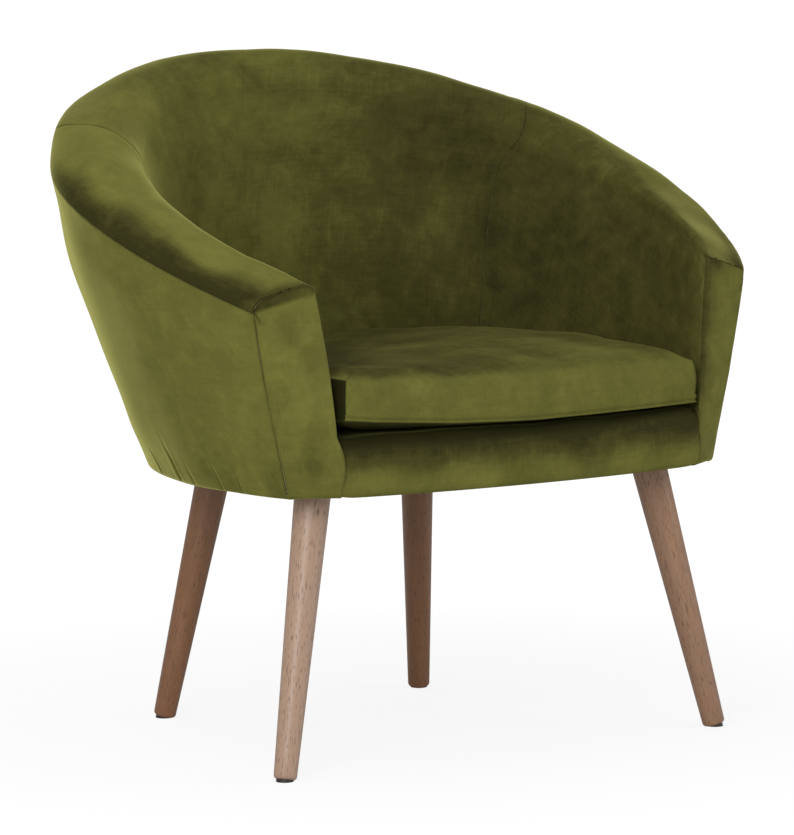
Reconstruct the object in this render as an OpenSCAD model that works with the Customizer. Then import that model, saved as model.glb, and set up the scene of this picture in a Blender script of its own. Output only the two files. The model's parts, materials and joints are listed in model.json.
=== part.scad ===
// Tub chair: a horseshoe shell of foam and velvet over a timber frame, a loose
// seat cushion and four splayed, tapered legs. Front faces -Y, up is +Z, and the
// origin is on the floor under the middle of the chair. Left is the -X side.

/* [Overall] */
// Height of the back rim above the floor
overall_h = 750; // [700:1:820]
// Depth from the front of the cushion to the back rim
overall_d = 629; // [597:1:687]
// Height of the shell's underside above the floor
underside_z = 306; // [280:1:330]

/* [Shell plan] */
// Half the shell's width at the rim, to the middle of its wall
rim_half_w = 347; // [335:1:380]
// Half the shell's width at the underside, to the middle of its wall
base_half_w = 281; // [272:1:300]
// Length of the rim's half ellipse, front to back
rim_half_length = 355; // [335:1:380]
// Length of the underside's half ellipse, front to back
base_half_length = 360; // [340:1:380]
// How far the back leans out from underside to rim
back_rake = 67; // [50:1:85]
// How far the rail's ends and the arm fronts lie behind the rail's middle
front_bow = 20; // [12:1:28]
// How far the arm fronts lean back from underside to rim
front_lean = 7; // [0:1:20]

/* [Shell wall] */
// Fall of the rim from the back down to the arm fronts
rim_fall = 226; // [190:1:240]
// Wall thickness at the underside
base_wall_t = 54; // [50:1:60]
// Wall thickness at the rim, middle of the back
back_rim_t = 86; // [76:1:96]
// Wall thickness at the rim, where back and arms meet
mid_rim_t = 104; // [92:1:112]
// Wall thickness at the rim, arm fronts
front_rim_t = 69; // [62:1:78]
// Height of the rolled rim over the side crease, at the back
back_roll_h = 50; // [38:1:60]
// Height of the rolled rim over the side crease, at the arm fronts
front_roll_h = 14; // [8:1:20]
// Outward swell of the outside panels
outside_swell = 10; // [0:0.5:14]
// Inward swell of the padded inside
inside_swell = 8; // [0:0.5:12]
// Turn of the arm fronts away from straight ahead at the underside, in degrees
base_front_turn = 33; // [20:1:36]
// Turn of the arm fronts away from straight ahead at the rim, in degrees
rim_front_turn = 13; // [5:1:20]

/* [Covers and padding] */
// Thickness of the velvet with its thin wadding
cover_t = 2; // [1:0.25:2.5]
// Clearance between flat or matching neighbours
layer_gap = 0.3; // [0.2:0.05:0.5]
// Clearance between curved layers
curve_gap = 0.9; // [0.8:0.05:1]
// Thickness of the pads behind the arm fronts
facing_pad_t = 7; // [5:0.5:10]
// Thickness of the foam in front of the front rail
rail_pad_t = 9; // [6:0.5:12]
// Thickness of the seat deck's foam
deck_pad_t = 14; // [10:0.5:16]
// Rise of the front rail's padded top above the seat deck
rail_crest_h = 2; // [1:0.5:6]
// Radius of the front rail's padded top edge
rail_edge_r = 13; // [8:0.5:16]

/* [Frame] */
// Thickness of the posts and the top rail
post_t = 14; // [12:0.5:16]
// Width of each post along the wall
post_w = 40; // [30:1:50]
// Height of the top rail
top_rail_h = 34; // [24:1:38]
// Width of the base ring's timber
ring_w = 26; // [22:1:30]
// Height of the base ring and the front rail
ring_h = 34; // [32:1:40]
// Thickness of the front rail
front_rail_t = 26; // [22:1:30]
// Thickness of the fibreboard on the outside
panel_t = 3; // [2:0.5:4]
// Thickness of the bent liner behind the inside foam
liner_t = 3; // [2:0.5:4]
// Thickness of the boards that carry the legs
board_t = 24; // [20:1:28]
// Width of the boards that carry the legs
board_w = 64; // [56:1:72]

/* [Webbing] */
// Width of a webbing strap
strap_w = 50; // [40:1:60]
// Thickness of a webbing strap
strap_t = 2; // [1:0.25:2.5]
// How far a strap lies on the timber at its ends
strap_grip = 10; // [6:1:11]

/* [Legs] */
// Radius of a leg at the shell
leg_top_r = 20; // [17:0.5:23]
// Radius of a leg at the floor
leg_foot_r = 12.5; // [10:0.5:15]
// How far the front legs stand in from the middle of the shell's side, at the shell
front_leg_in = 54; // [49:1:66]
// How far the front legs stand behind the middle of the front rail's face, at the shell
front_leg_back = 92; // [87:1:106]
// How far the front feet are splayed out sideways
front_splay = 67; // [50:1:80]
// How far the front feet are splayed forwards
front_rake = 42; // [25:1:55]
// How far the back legs stand in from the middle of the shell's side, at the shell
back_leg_in = 143; // [131:1:161]
// How far the back legs stand before the middle of the shell's back, at the shell
back_leg_ahead = 105; // [91:1:121]
// How far the back feet are splayed out sideways
back_splay = 41; // [28:1:55]
// How far the back feet are splayed backwards
back_leg_rake = 52; // [36:1:66]
// Length of leg axis taken up by the glide under each foot
glide_l = 7; // [5:0.5:10]
// Radius of a glide
glide_r = 9.5; // [8:0.5:10]
// Rounding of a leg's lower edge
foot_round = 4; // [2:0.5:6]

/* [Leg fixings] */
// Radius of the hanger bolts
bolt_r = 4; // [3:0.5:5]
// Length of a hanger bolt in the leg
bolt_in_leg = 38; // [25:1:45]
// Radius of a tee nut's barrel
nut_r = 6; // [5.5:0.5:7]
// Length of a tee nut's barrel
nut_l = 12; // [8:1:16]
// Radius of a tee nut's flange
nut_flange_r = 11; // [9:0.5:13]
// Thickness of a tee nut's flange
nut_flange_t = 1.5; // [1:0.25:2]
// Clearance round the bolts and the tee nuts
fixing_gap = 0.1; // [0.05:0.05:0.3]

/* [Seat cushion] */
// Height of the cushion's front edge, seam to seam
cushion_edge_h = 46; // [36:1:56]
// Rise of the cushion's crown above its edge
cushion_crown = 24; // [12:1:34]
// Rise of the cushion's lower edge above the deck
cushion_lift_edge = 15; // [8:1:20]
// Gap between the cushion and the inside of the shell
cushion_gap = 7; // [4:0.5:12]
// Extra gap beside the cushion's front corners
cushion_corner_gap = 5; // [0:0.5:12]
// How far the cushion's front stands proud of the front rail
cushion_proud = 3; // [0:0.5:8]
// Outward swell of the cushion's sides
cushion_swell = 4; // [0:0.5:8]
// How far the cushion's front is drawn in beside its corners
cushion_draw = 4; // [0:0.5:8]
// Height of the zip at the back of the cushion
zip_h = 8; // [6:0.5:12]

/* [Hidden] */

// Colours of the photographed finishes
velvet = "#6b6c31";
leg_wood = "#8a6049";
timber = "#c9a877";
foam = "#e6dfb8";
board = "#a58a62";
cloth = "#26262a";
metal = "#b9bcc0";
strap = "#4a4a4c";
plastic = "#2b2826";

// Overrun of cutting shapes past what they cut
over = 10;
// Shares along the wall, from the middle of the back at 0 to an arm front at 1
post_shares = [0.12, 0.36, 0.64];
timber_joint_share = 0.5;
foam_joint_share = 0.5;
seam_crease_share = 0.39;
seam_top_share = 0.515;
seam_inside_share = 0.465;
turn_start_share = 0.55;
// Where along the wall its roll, thickness and swell begin to change
roll_start_share = 0.35;
thick_share = 0.5;
fade_start_share = 0.6;
// Slope of the rolled rim across the wall at the arm fronts
rim_slope_share = 0.275;
// Fullness of the roll's section: 2 is an ellipse, more is squarer
back_fullness_share = 2;
front_fullness_share = 3.2;
// Places of the straps as shares of the seat's half width and of its depth
length_strap_shares = [-0.72, -0.36, 0, 0.36, 0.72];
cross_strap_shares = [0.14, 0.36, 0.58, 0.8];

// Levels
frame_z = underside_z + cover_t;
ring_top_z = frame_z + ring_h;
cross_strap_z = ring_top_z + strap_t;
inside_z = cross_strap_z + strap_t + layer_gap;
deck_cover_z = inside_z + deck_pad_t + layer_gap;
deck_z = deck_cover_z + cover_t;
rail_crest_z = deck_z + rail_crest_h;

// Places, front to back
front_y = cushion_proud + cushion_swell - overall_d / 2;
arm_front_y = front_y + front_bow;
rim_back_y = overall_d / 2 - back_rim_t / 2;
base_back_y = rim_back_y - back_rake;

// Depths of the layers, measured in from the outside of the velvet
panel_d = cover_t + curve_gap;
post_d = panel_d + panel_t + curve_gap;
liner_d = post_d + post_t + curve_gap;
foam_d = liner_d + liner_t + curve_gap;
pad_d = cover_t + layer_gap;
end_back = pad_d + facing_pad_t + layer_gap;

// A soft step from 0 to 1 while x goes from 0 to 1
function soft(x) = let (c = min(max(x, 0), 1)) c * c * (3 - 2 * c);
function mix(a, b, t) = a + (b - a) * t;
function steps(a, b, n) = [for (i = [0:n]) mix(a, b, i / n)];
// A soft step that begins at a share of the wall and ends at its fronts
function late(s, start) = soft((abs(s) - start) / (1 - start));

// The wall's middle line: an ellipse that grows from the underside, rise 0, to
// the crease under the rolled rim, rise 1
function half_w(rise) = mix(base_half_w, rim_half_w, rise);
function half_l(rise) = mix(base_half_length, rim_half_length, rise);
function mid_y(rise) = mix(base_back_y, rim_back_y, rise) - half_l(rise);
function turn(rise) = mix(base_front_turn, rim_front_turn, rise);
// The inner corner of an arm front lies at the rail's end, so its middle lies behind
function end_y(rise) = arm_front_y + front_lean * rise + base_wall_t / 2 * sin(base_front_turn);
function end_angle(rise) = acos((end_y(rise) - mid_y(rise)) / half_l(rise));
function middle(s, rise) =
  [half_w(rise) * sin(s * end_angle(rise)), mid_y(rise) + half_l(rise) * cos(s * end_angle(rise))];

// The way out of the wall, seen from above: square to the ellipse along the back,
// turned to the arm front's own direction towards the front
function unit2(v) = v / norm(v);
function ellipse_out(s, rise) =
  unit2([sin(s * end_angle(rise)) / half_w(rise), cos(s * end_angle(rise)) / half_l(rise)]);
function outward(s, rise) = let (
    b = late(s, turn_start_share),
    front = [sign(s) * cos(turn(rise)), sin(turn(rise))]
  ) unit2((1 - b) * ellipse_out(s, rise) + b * front);

// The rim's height falls as a slanting plane would cut it
function rim_z(s) = let (e = end_angle(1))
  overall_h - rim_fall * (1 - cos(s * e)) / (1 - cos(e));
function roll_h(s) = mix(back_roll_h, front_roll_h, late(s, roll_start_share));
function crease_z(s) = rim_z(s) - roll_h(s);
function rim_t(s) = abs(s) < thick_share ? mix(back_rim_t, mid_rim_t, soft(abs(s) / thick_share))
                                         : mix(mid_rim_t, front_rim_t, late(s, thick_share));
function slope(s) = -rim_slope_share * late(s, thick_share);
function rise_at(s, z) = (z - underside_z) / (crease_z(s) - underside_z);
function half_t(s, rise) = mix(base_wall_t, rim_t(s), rise) / 2;
function swell(rise) = 4 * rise * (1 - rise);

// A point of the wall at share s and height z, off to the outside of its middle line
function wall(s, z, off) = let (rise = rise_at(s, z), p = middle(s, rise) + outward(s, rise) * off)
  [p[0], p[1], z + slope(s) * off * pow(rise, 3)];
function outside(s, z, depth) = let (rise = rise_at(s, z))
  wall(s, z, half_t(s, rise) + outside_swell * swell(rise) * (1 - late(s, fade_start_share)) - depth);
function inside(s, z, depth) = let (rise = rise_at(s, z))
  wall(s, z, depth - half_t(s, rise) - inside_swell * swell(rise));

// Stations along one half of the wall, shared by all layers so that they nest.
// The last one is set back from the arm front by a length.
stations = 20;
wall_l = PI / 180 * end_angle(0) * base_half_length;
// The arm posts stand just behind the pads of the arm fronts
arm_post_gap = 1.2;
arm_post_share = 1 - (end_back + arm_post_gap + post_w / 2) / wall_l;
function ended(s, back) = sign(s) * min(abs(s), 1 - back / wall_l);
function along(from, to, back) =
  [for (s = steps(from, to, round((to - from) * stations))) ended(s, back)];

// A point of the rolled rim: angle 0 is the outer crease, 180 the inner side
function fullness(s) = mix(back_fullness_share, front_fullness_share, late(s, fade_start_share));
function roll(s, angle, depth) = let (
    e = 2 / fullness(s),
    off = (half_t(s, 1) - depth) * sign(cos(angle)) * pow(abs(cos(angle)), e),
    lift = (roll_h(s) - depth) * pow(abs(sin(angle)), e),
    p = middle(s, 1) + outward(s, 1) * off
  ) [p[0], p[1], crease_z(s) + lift + slope(s) * off];

// A closed solid between two grids of points with the same rows and columns
module slab(a, b) {
  rows = len(a);
  cols = len(a[0]);
  n = rows * cols;
  function id(i, j) = i * cols + j;
  function two(p, q, r, t) = [[p, q, r], [p, r, t]];
  faces = concat(
    [for (i = [0:rows - 2]) for (j = [0:cols - 2])
      each two(id(i, j), id(i + 1, j), id(i + 1, j + 1), id(i, j + 1))],
    [for (i = [0:rows - 2]) for (j = [0:cols - 2])
      each two(n + id(i, j), n + id(i, j + 1), n + id(i + 1, j + 1), n + id(i + 1, j))],
    [for (i = [0:rows - 2]) each two(id(i, 0), n + id(i, 0), n + id(i + 1, 0), id(i + 1, 0))],
    [for (i = [0:rows - 2]) let (j = cols - 1)
      each two(id(i + 1, j), n + id(i + 1, j), n + id(i, j), id(i, j))],
    [for (j = [0:cols - 2]) each two(id(0, j), id(0, j + 1), n + id(0, j + 1), n + id(0, j))],
    [for (j = [0:cols - 2]) let (i = rows - 1)
      each two(id(i, j), n + id(i, j), n + id(i, j + 1), id(i, j + 1))]);
  polyhedron(concat([for (row = a) each row], [for (row = b) each row]), faces);
}

// A closed solid swept through rings of points, with convex ends
module sweep(rings) {
  m = len(rings[0]);
  last = len(rings) - 1;
  faces = concat(
    [for (i = [0:last - 1]) for (k = [0:m - 1]) let (l = (k + 1) % m)
      each [[i * m + k, (i + 1) * m + k, (i + 1) * m + l], [i * m + k, (i + 1) * m + l, i * m + l]]],
    [for (k = [1:m - 2]) [0, k, k + 1]],
    [for (k = [1:m - 2]) [last * m, last * m + k + 1, last * m + k]]);
  polyhedron([for (r = rings) each r], faces);
}

// A flat-topped length of base ring
module ring_piece(from, to) {
  sweep([for (s = along(from, to, end_back)) [
    outside(s, frame_z, post_d), outside(s, ring_top_z, post_d),
    outside(s, ring_top_z, post_d + ring_w), outside(s, frame_z, post_d + ring_w)]]);
}

// A length of layer between two depths, from a level up to just under the crease
layer_rows = 6;
function layer_z(s, low, k) = mix(low, crease_z(s) - layer_gap, k / layer_rows);
module outer_layer(from, to, low, depth, t, back) {
  function line(s, d) = [for (k = [0:layer_rows]) outside(s, layer_z(s, low, k), d)];
  slab([for (s = along(from, to, back)) line(s, depth)],
       [for (s = along(from, to, back)) line(s, depth + t)]);
}

// A post of the wall, standing on the base ring under the top rail
post_rows = 4;
module post(share) {
  span = post_w / wall_l / 2;
  function level(s, k) =
    mix(ring_top_z + layer_gap, crease_z(s) - layer_gap - top_rail_h - curve_gap, k / post_rows);
  function line(s, d) = [for (k = [0:post_rows]) outside(s, level(s, k), d)];
  slab([for (s = steps(share - span, share + span, 2)) line(s, post_d)],
       [for (s = steps(share - span, share + span, 2)) line(s, post_d + post_t)]);
}

// A length of the top rail that the rolled rim sits on
module top_rail(from, to) {
  function line(s, d) = [for (h = [top_rail_h, 0]) outside(s, crease_z(s) - layer_gap - h, d)];
  slab([for (s = along(from, to, end_back)) line(s, post_d)],
       [for (s = along(from, to, end_back)) line(s, post_d + post_t)]);
}

// A length of the foam on the inside of the wall
module inside_foam(from, to) {
  function level(s, k) = layer_z(s, inside_z, k);
  slab([for (s = along(from, to, end_back)) [for (k = [0:layer_rows]) outside(s, level(s, k), foam_d)]],
       [for (s = along(from, to, end_back)) [for (k = [0:layer_rows]) inside(s, level(s, k), panel_d)]]);
}

// A length of the foam roll on the rim, from its top over the inside, along its
// base over the edges of the layers below, and up the outside
rim_angles = [0, 22.5, 45, 67.5, 90, 112.5, 135, 157.5, 180];
module rim_roll(from, to) {
  sweep([for (s = along(from, to, end_back)) concat(
    [for (angle = rim_angles) if (angle >= 90) roll(s, angle, panel_d)],
    [for (d = [foam_d, liner_d + liner_t, liner_d, post_d + post_t, post_d]) outside(s, crease_z(s), d)],
    [for (angle = rim_angles) if (angle < 90) roll(s, angle, panel_d)])]);
}

// The lines down which the inner covers run: over the roll, then down the inside
roll_rows = len(rim_angles) - 1;
cover_rows = roll_rows + layer_rows;
function cover_point(s, k, depth) = k <= roll_rows
  ? roll(s, rim_angles[k], depth)
  : inside(s, mix(crease_z(s), inside_z, (k - roll_rows) / layer_rows), depth);
// The seam between back and arm sweeps forward over the rim and back on the inside
function seam(k) = let (t = k / roll_rows)
  t < 1 ? mix(seam_crease_share, seam_top_share, soft(t * 1.3))
        : mix(seam_top_share, seam_inside_share, soft((t - 1) * 3));
joint_half_gap = layer_gap / wall_l / 2;

// Shares of the covers' columns: the shared stations, pressed together at the seam
press_share = 0.004;
back_cols = ceil(seam_top_share * stations);
arm_first = floor(seam_crease_share * stations);
function back_share(i, k) =
  sign(i) * min(abs(i) / stations, seam(k) - joint_half_gap - (back_cols - abs(i)) * press_share);
function arm_share(i, k) = ended(
  max(i / stations, seam(k) + joint_half_gap + (i - arm_first) * press_share), pad_d);
module inner_cover(grid) {
  slab([for (col = grid) [for (k = [0:cover_rows]) cover_point(col[k], k, 0)]],
       [for (col = grid) [for (k = [0:cover_rows]) cover_point(col[k], k, cover_t)]]);
}

// Rows of an arm front from the underside up over its rolled top, each from the
// inner edge to the outer one
facing_cols = 3;
facing_angles = [20, 40, 60, 80];
function facing_edge(s, k, outer, depth) = k <= layer_rows
  ? let (z = mix(underside_z + depth, crease_z(s), k / layer_rows))
      (outer ? outside(s, z, depth) : inside(s, z, depth))
  : let (angle = facing_angles[k - layer_rows - 1]) roll(s, outer ? angle : 180 - angle, depth);
module facing(depth, from, to) {
  function face(s) = [for (k = [0:layer_rows + len(facing_angles)]) [for (j = [0:facing_cols])
    mix(facing_edge(s, k, false, depth), facing_edge(s, k, true, depth), j / facing_cols)]];
  slab(face(ended(1, from)), face(ended(1, to)));
}

module mirrored(left) {
  if (left) mirror([1, 0, 0]) children();
  else children();
}

// The front rail, its padding and cover are turned about one far-off axis, so
// that the front is bowed
rail_half = middle(1, 0)[0] - base_wall_t / 2 * cos(base_front_turn) - layer_gap;
rail_r = (rail_half * rail_half + front_bow * front_bow) / (2 * front_bow);
rail_wood_d = pad_d + rail_pad_t + layer_gap;
rail_back_d = rail_wood_d + front_rail_t;
strap_front_d = rail_back_d - strap_grip;
arc_fn = 720;
module bowed(half) {
  angle = 2 * asin(half / rail_r);
  translate([0, front_y + rail_r, 0]) rotate([0, 0, -90 - angle / 2])
    rotate_extrude(angle = angle, $fn = arc_fn) children();
}
// The rail's section from a lower level up to the crest, inset by depth
rail_swell = 3;
face_top_z = rail_crest_z - rail_edge_r;
function rail_line(depth, low) = concat(
  [for (z = steps(low, face_top_z, 6))
    [depth - rail_swell * sin(180 * (z - underside_z) / (face_top_z - underside_z)), z]],
  [for (t = [15:15:90])
    [rail_edge_r - (rail_edge_r - depth) * cos(t), face_top_z + (rail_edge_r - depth) * sin(t)]]);
function from_axis(line) = [for (p = line) [rail_r - p[0], p[1]]];
function backwards(line) = [for (i = [len(line) - 1:-1:0]) line[i]];

module rail_cover_piece() {
  tail = [[strap_front_d, rail_crest_z], [strap_front_d, rail_crest_z - cover_t]];
  bowed(rail_half)
    polygon(from_axis(concat(rail_line(0, underside_z), tail, backwards(rail_line(cover_t, underside_z)))));
}
module rail_padding_piece() {
  back = strap_front_d - layer_gap;
  tail = [
    [back, rail_crest_z - pad_d], [back, ring_top_z + layer_gap],
    [rail_wood_d - layer_gap, ring_top_z + layer_gap], [rail_wood_d - layer_gap, frame_z]];
  bowed(rail_half - layer_gap) polygon(from_axis(concat(rail_line(pad_d, frame_z), tail)));
}
module front_rail_piece() {
  bowed(rail_half - layer_gap)
    translate([rail_r - rail_back_d, frame_z]) square([front_rail_t, ring_h]);
}
module behind_rail(depth) {
  intersection() {
    children();
    translate([0, front_y + rail_r, 0]) cylinder(r = rail_r - depth, h = overall_h, $fn = arc_fn);
  }
}

// The outline that the inside of the wall leaves at a level, inset by depth
function ring_outline(z, depth) = [for (s = along(-1, 1, end_back))
  let (p = outside(s, z, depth)) [p[0], p[1]]];
function seat_outline(z, depth) = [for (s = along(-1, 1, 0))
  let (p = inside(s, z, -depth)) [p[0], p[1]]];
front_run = [[rail_half, front_y], [-rail_half, front_y]];

module leg_board(y) {
  difference() {
    behind_rail(rail_back_d + layer_gap)
      translate([0, 0, frame_z]) linear_extrude(board_t) intersection() {
        polygon(concat(ring_outline(frame_z, post_d + ring_w + layer_gap), front_run));
        translate([-rim_half_w, y - board_w / 2]) square([2 * rim_half_w, board_w]);
      }
    children();
  }
}
module nut_hole(x, y) {
  translate([x, y, frame_z - over]) cylinder(r = bolt_r + fixing_gap, h = board_t + 2 * over, $fn = 40);
  translate([x, y, frame_z + board_t - nut_l - fixing_gap])
    cylinder(r = nut_r + fixing_gap, h = nut_l + over, $fn = 48);
}
// Each leg's place at the floor and at the shell
front_leg_x = base_half_w - front_leg_in;
front_leg_y = front_y + front_leg_back;
back_leg_x = base_half_w - back_leg_in;
back_leg_y = base_back_y - back_leg_ahead;
leg_places = [for (p = [
    [front_leg_x, front_splay, front_leg_y, -front_rake], [back_leg_x, back_splay, back_leg_y, back_leg_rake]])
  for (side = [-1, 1]) [side * (p[0] + p[1]), p[2] + p[3], side * p[0], p[2]]];

// Stands its children on a foot's place, with +Z along the leg and their own seam
// on the side, away from where level cuts meet a leg highest and lowest
seam_turn = 90;
module along_leg(p) {
  d = [p[2] - p[0], p[3] - p[1], frame_z];
  translate([p[0], p[1], 0]) rotate([0, acos(d[2] / norm(d)), atan2(d[1], d[0])])
    rotate([0, 0, seam_turn]) children();
}
function leg_length(p) = norm([p[2] - p[0], p[3] - p[1], frame_z]);
module leg(p) {
  l = leg_length(p);
  round_r = leg_foot_r - foot_round;
  color(leg_wood) difference() {
    along_leg(p) rotate_extrude($fn = 64) polygon(concat(
      [[0, glide_l]],
      [for (t = steps(-90, 0, 5))
        [round_r + foot_round * cos(t), glide_l + foot_round + foot_round * sin(t)]],
      [[leg_top_r, l], [leg_top_r, l + over], [0, l + over]]));
    translate([p[2] - 3 * leg_top_r, p[3] - 3 * leg_top_r, frame_z])
      cube([6 * leg_top_r, 6 * leg_top_r, 3 * over]);
    translate([p[2], p[3], frame_z - bolt_in_leg - fixing_gap])
      cylinder(r = bolt_r + fixing_gap, h = bolt_in_leg + over, $fn = 40);
  }
}
module foot_glides() {
  color(plastic) for (p = leg_places) difference() {
    along_leg(p) translate([0, 0, -over]) cylinder(r = glide_r, h = over + glide_l, $fn = 48);
    translate([p[0] - 3 * glide_r, p[1] - 3 * glide_r, -3 * over]) cube([6 * glide_r, 6 * glide_r, 3 * over]);
  }
}
bolt_above_board = 4;
module hanger_bolts() {
  color(metal) for (p = leg_places) translate([p[2], p[3], frame_z - bolt_in_leg])
    cylinder(r = bolt_r, h = bolt_in_leg + board_t + bolt_above_board, $fn = 40);
}
module tee_nuts() {
  color(metal) for (p = leg_places) translate([p[2], p[3], frame_z + board_t]) difference() {
    union() {
      cylinder(r = nut_flange_r, h = nut_flange_t, $fn = 48);
      translate([0, 0, -nut_l]) cylinder(r = nut_r, h = nut_l + nut_flange_t / 2, $fn = 48);
    }
    translate([0, 0, -nut_l - over]) cylinder(r = bolt_r + fixing_gap, h = nut_l + 2 * over, $fn = 40);
  }
}
module front_leg_board() {
  color(timber) leg_board(front_leg_y) {
    nut_hole(front_leg_x, front_leg_y);
    nut_hole(-front_leg_x, front_leg_y);
  }
}
module back_leg_board() {
  color(timber) leg_board(back_leg_y) {
    nut_hole(back_leg_x, back_leg_y);
    nut_hole(-back_leg_x, back_leg_y);
  }
}

// Timber of the shell
module front_rail() { color(timber) front_rail_piece(); }
module side_rail(left) { color(timber) mirrored(left) ring_piece(timber_joint_share + joint_half_gap, 1); }
module back_rail() {
  color(timber) ring_piece(joint_half_gap - timber_joint_share, timber_joint_share - joint_half_gap);
}
module arm_post(left) { color(timber) mirrored(left) post(arm_post_share); }
module wall_posts() {
  color(timber) for (share = post_shares) {
    post(share);
    mirror([1, 0, 0]) post(share);
  }
}
module arm_top_rail(left) { color(timber) mirrored(left) top_rail(timber_joint_share + joint_half_gap, 1); }
module back_top_rail() {
  color(timber) top_rail(joint_half_gap - timber_joint_share, timber_joint_share - joint_half_gap);
}
module tub_liner() { color(board) outer_layer(-1, 1, inside_z, liner_d, liner_t, end_back); }
module outside_panel(left) {
  color(board) mirrored(left) outer_layer(joint_half_gap, 1, frame_z, panel_d, panel_t, end_back);
}

// Seat deck
seat_half_w = half_w(0) + base_wall_t / 2 - post_d - ring_w;
seat_mid_y = mid_y(0);
seat_half_l = half_l(0) + base_wall_t / 2 - post_d - ring_w;
module webbing_lengthwise() {
  color(strap) for (share = length_strap_shares) {
    x = share * seat_half_w;
    reach = abs(x) + strap_w / 2;
    back = seat_mid_y + seat_half_l * sqrt(1 - pow(reach / seat_half_w, 2)) + strap_grip;
    behind_rail(strap_front_d + layer_gap)
      translate([x - strap_w / 2, front_y, ring_top_z]) cube([strap_w, back - front_y, strap_t]);
  }
}
module webbing_crosswise() {
  color(strap) for (share = cross_strap_shares) {
    y = mix(front_y + rail_back_d, seat_mid_y + seat_half_l, share);
    far = max(abs(y - strap_w / 2 - seat_mid_y), abs(y + strap_w / 2 - seat_mid_y));
    half = seat_half_w * sqrt(1 - pow(far / seat_half_l, 2)) + strap_grip;
    translate([-half, y - strap_w / 2, cross_strap_z]) cube([2 * half, strap_w, strap_t]);
  }
}
module deck_layer(z, t, low) {
  behind_rail(strap_front_d + layer_gap)
    translate([0, 0, z]) linear_extrude(t) polygon(concat(seat_outline(low, curve_gap), front_run));
}
module deck_pad() { color(foam) deck_layer(inside_z, deck_pad_t, inside_z); }
module deck_cover() { color(velvet) deck_layer(deck_cover_z, cover_t, inside_z); }
module rail_padding() { color(foam) rail_padding_piece(); }
module rail_cover() { color(velvet) rail_cover_piece(); }
dust_cover_t = 1;
module dust_cover() {
  color(cloth) difference() {
    translate([0, 0, frame_z - dust_cover_t]) linear_extrude(dust_cover_t)
      intersection() {
        corner = inside(ended(1, end_back), underside_z, 0);
        polygon(concat(ring_outline(underside_z, panel_d), [
          [corner[0], corner[1]], [rail_half, front_y], [-rail_half, front_y], [-corner[0], corner[1]]]));
        translate([0, front_y + rail_r]) circle(r = rail_r - panel_d, $fn = arc_fn);
      }
    for (p = leg_places) translate([p[2], p[3], underside_z - over])
      cylinder(r = leg_top_r + 2 * cover_t, h = 3 * over, $fn = 48);
  }
}

// Foam of the shell
module back_foam() {
  color(foam) inside_foam(joint_half_gap - foam_joint_share, foam_joint_share - joint_half_gap);
}
module arm_foam(left) { color(foam) mirrored(left) inside_foam(foam_joint_share + joint_half_gap, 1); }
module rim_roll_back() {
  color(foam) rim_roll(joint_half_gap - foam_joint_share, foam_joint_share - joint_half_gap);
}
module rim_roll_side(left) { color(foam) mirrored(left) rim_roll(foam_joint_share + joint_half_gap, 1); }
module facing_pad(left) { color(foam) mirrored(left) facing(panel_d, pad_d, end_back - layer_gap); }

// Velvet covers of the shell
module arm_facing(left) { color(velvet) mirrored(left) facing(0, 0, cover_t); }
module outside_cover(left) {
  color(velvet) mirrored(left) outer_layer(joint_half_gap, 1, underside_z, 0, cover_t, pad_d);
}
module arm_cover(left) {
  color(velvet) mirrored(left)
    inner_cover([for (i = [arm_first:stations]) [for (k = [0:cover_rows]) arm_share(i, k)]]);
}
module inside_back_cover() {
  color(velvet) inner_cover([for (i = [-back_cols:back_cols]) [for (k = [0:cover_rows]) back_share(i, k)]]);
}

// Seat cushion: rings round its middle, from the middle of its top out to the
// edge, down its side and back to the middle of its underside
cushion_z = deck_z + layer_gap;
cushion_low_z = cushion_z + cushion_lift_edge;
cushion_high_z = cushion_low_z + cushion_edge_h;
cushion_front_y = front_y - cushion_proud;
cushion_side_share = 0.965;
cushion_side_steps = 22;
cushion_front_steps = 8;
function cushion_side(s) = let (
    gap = cushion_gap + cushion_corner_gap * late(s, fade_start_share),
    p = inside(s, cushion_low_z, -gap - cushion_swell)
  ) [p[0], p[1]];
cushion_corner = cushion_side(cushion_side_share);
// The front edge bows with the rail, and is drawn in beside each corner
cushion_corner_share = 0.93;
function cushion_front(t) = let (x = cushion_corner[0] * t)
  [x, cushion_front_y + front_bow * pow(x / rail_half, 2) + cushion_draw * pow(t, 8)];
cushion_outline = concat(
  [for (s = steps(-cushion_side_share, cushion_side_share, cushion_side_steps)) cushion_side(s)],
  [for (t = steps(1, -1, cushion_front_steps)) cushion_front(t * cushion_corner_share)]);
cushion_mid = [0, (cushion_side(0)[1] + cushion_front_y) / 2];
cushion_n = len(cushion_outline);
top_shares = [0, 0.3, 0.55, 0.75, 0.88, 0.96, 1];
side_shares = [0.25, 0.5, 0.75];
bottom_shares = [1, 0.94, 0.84, 0.6, 0.3, 0];
top_n = len(top_shares);
side_n = len(side_shares);
ring_n = top_n + side_n + len(bottom_shares);
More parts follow.
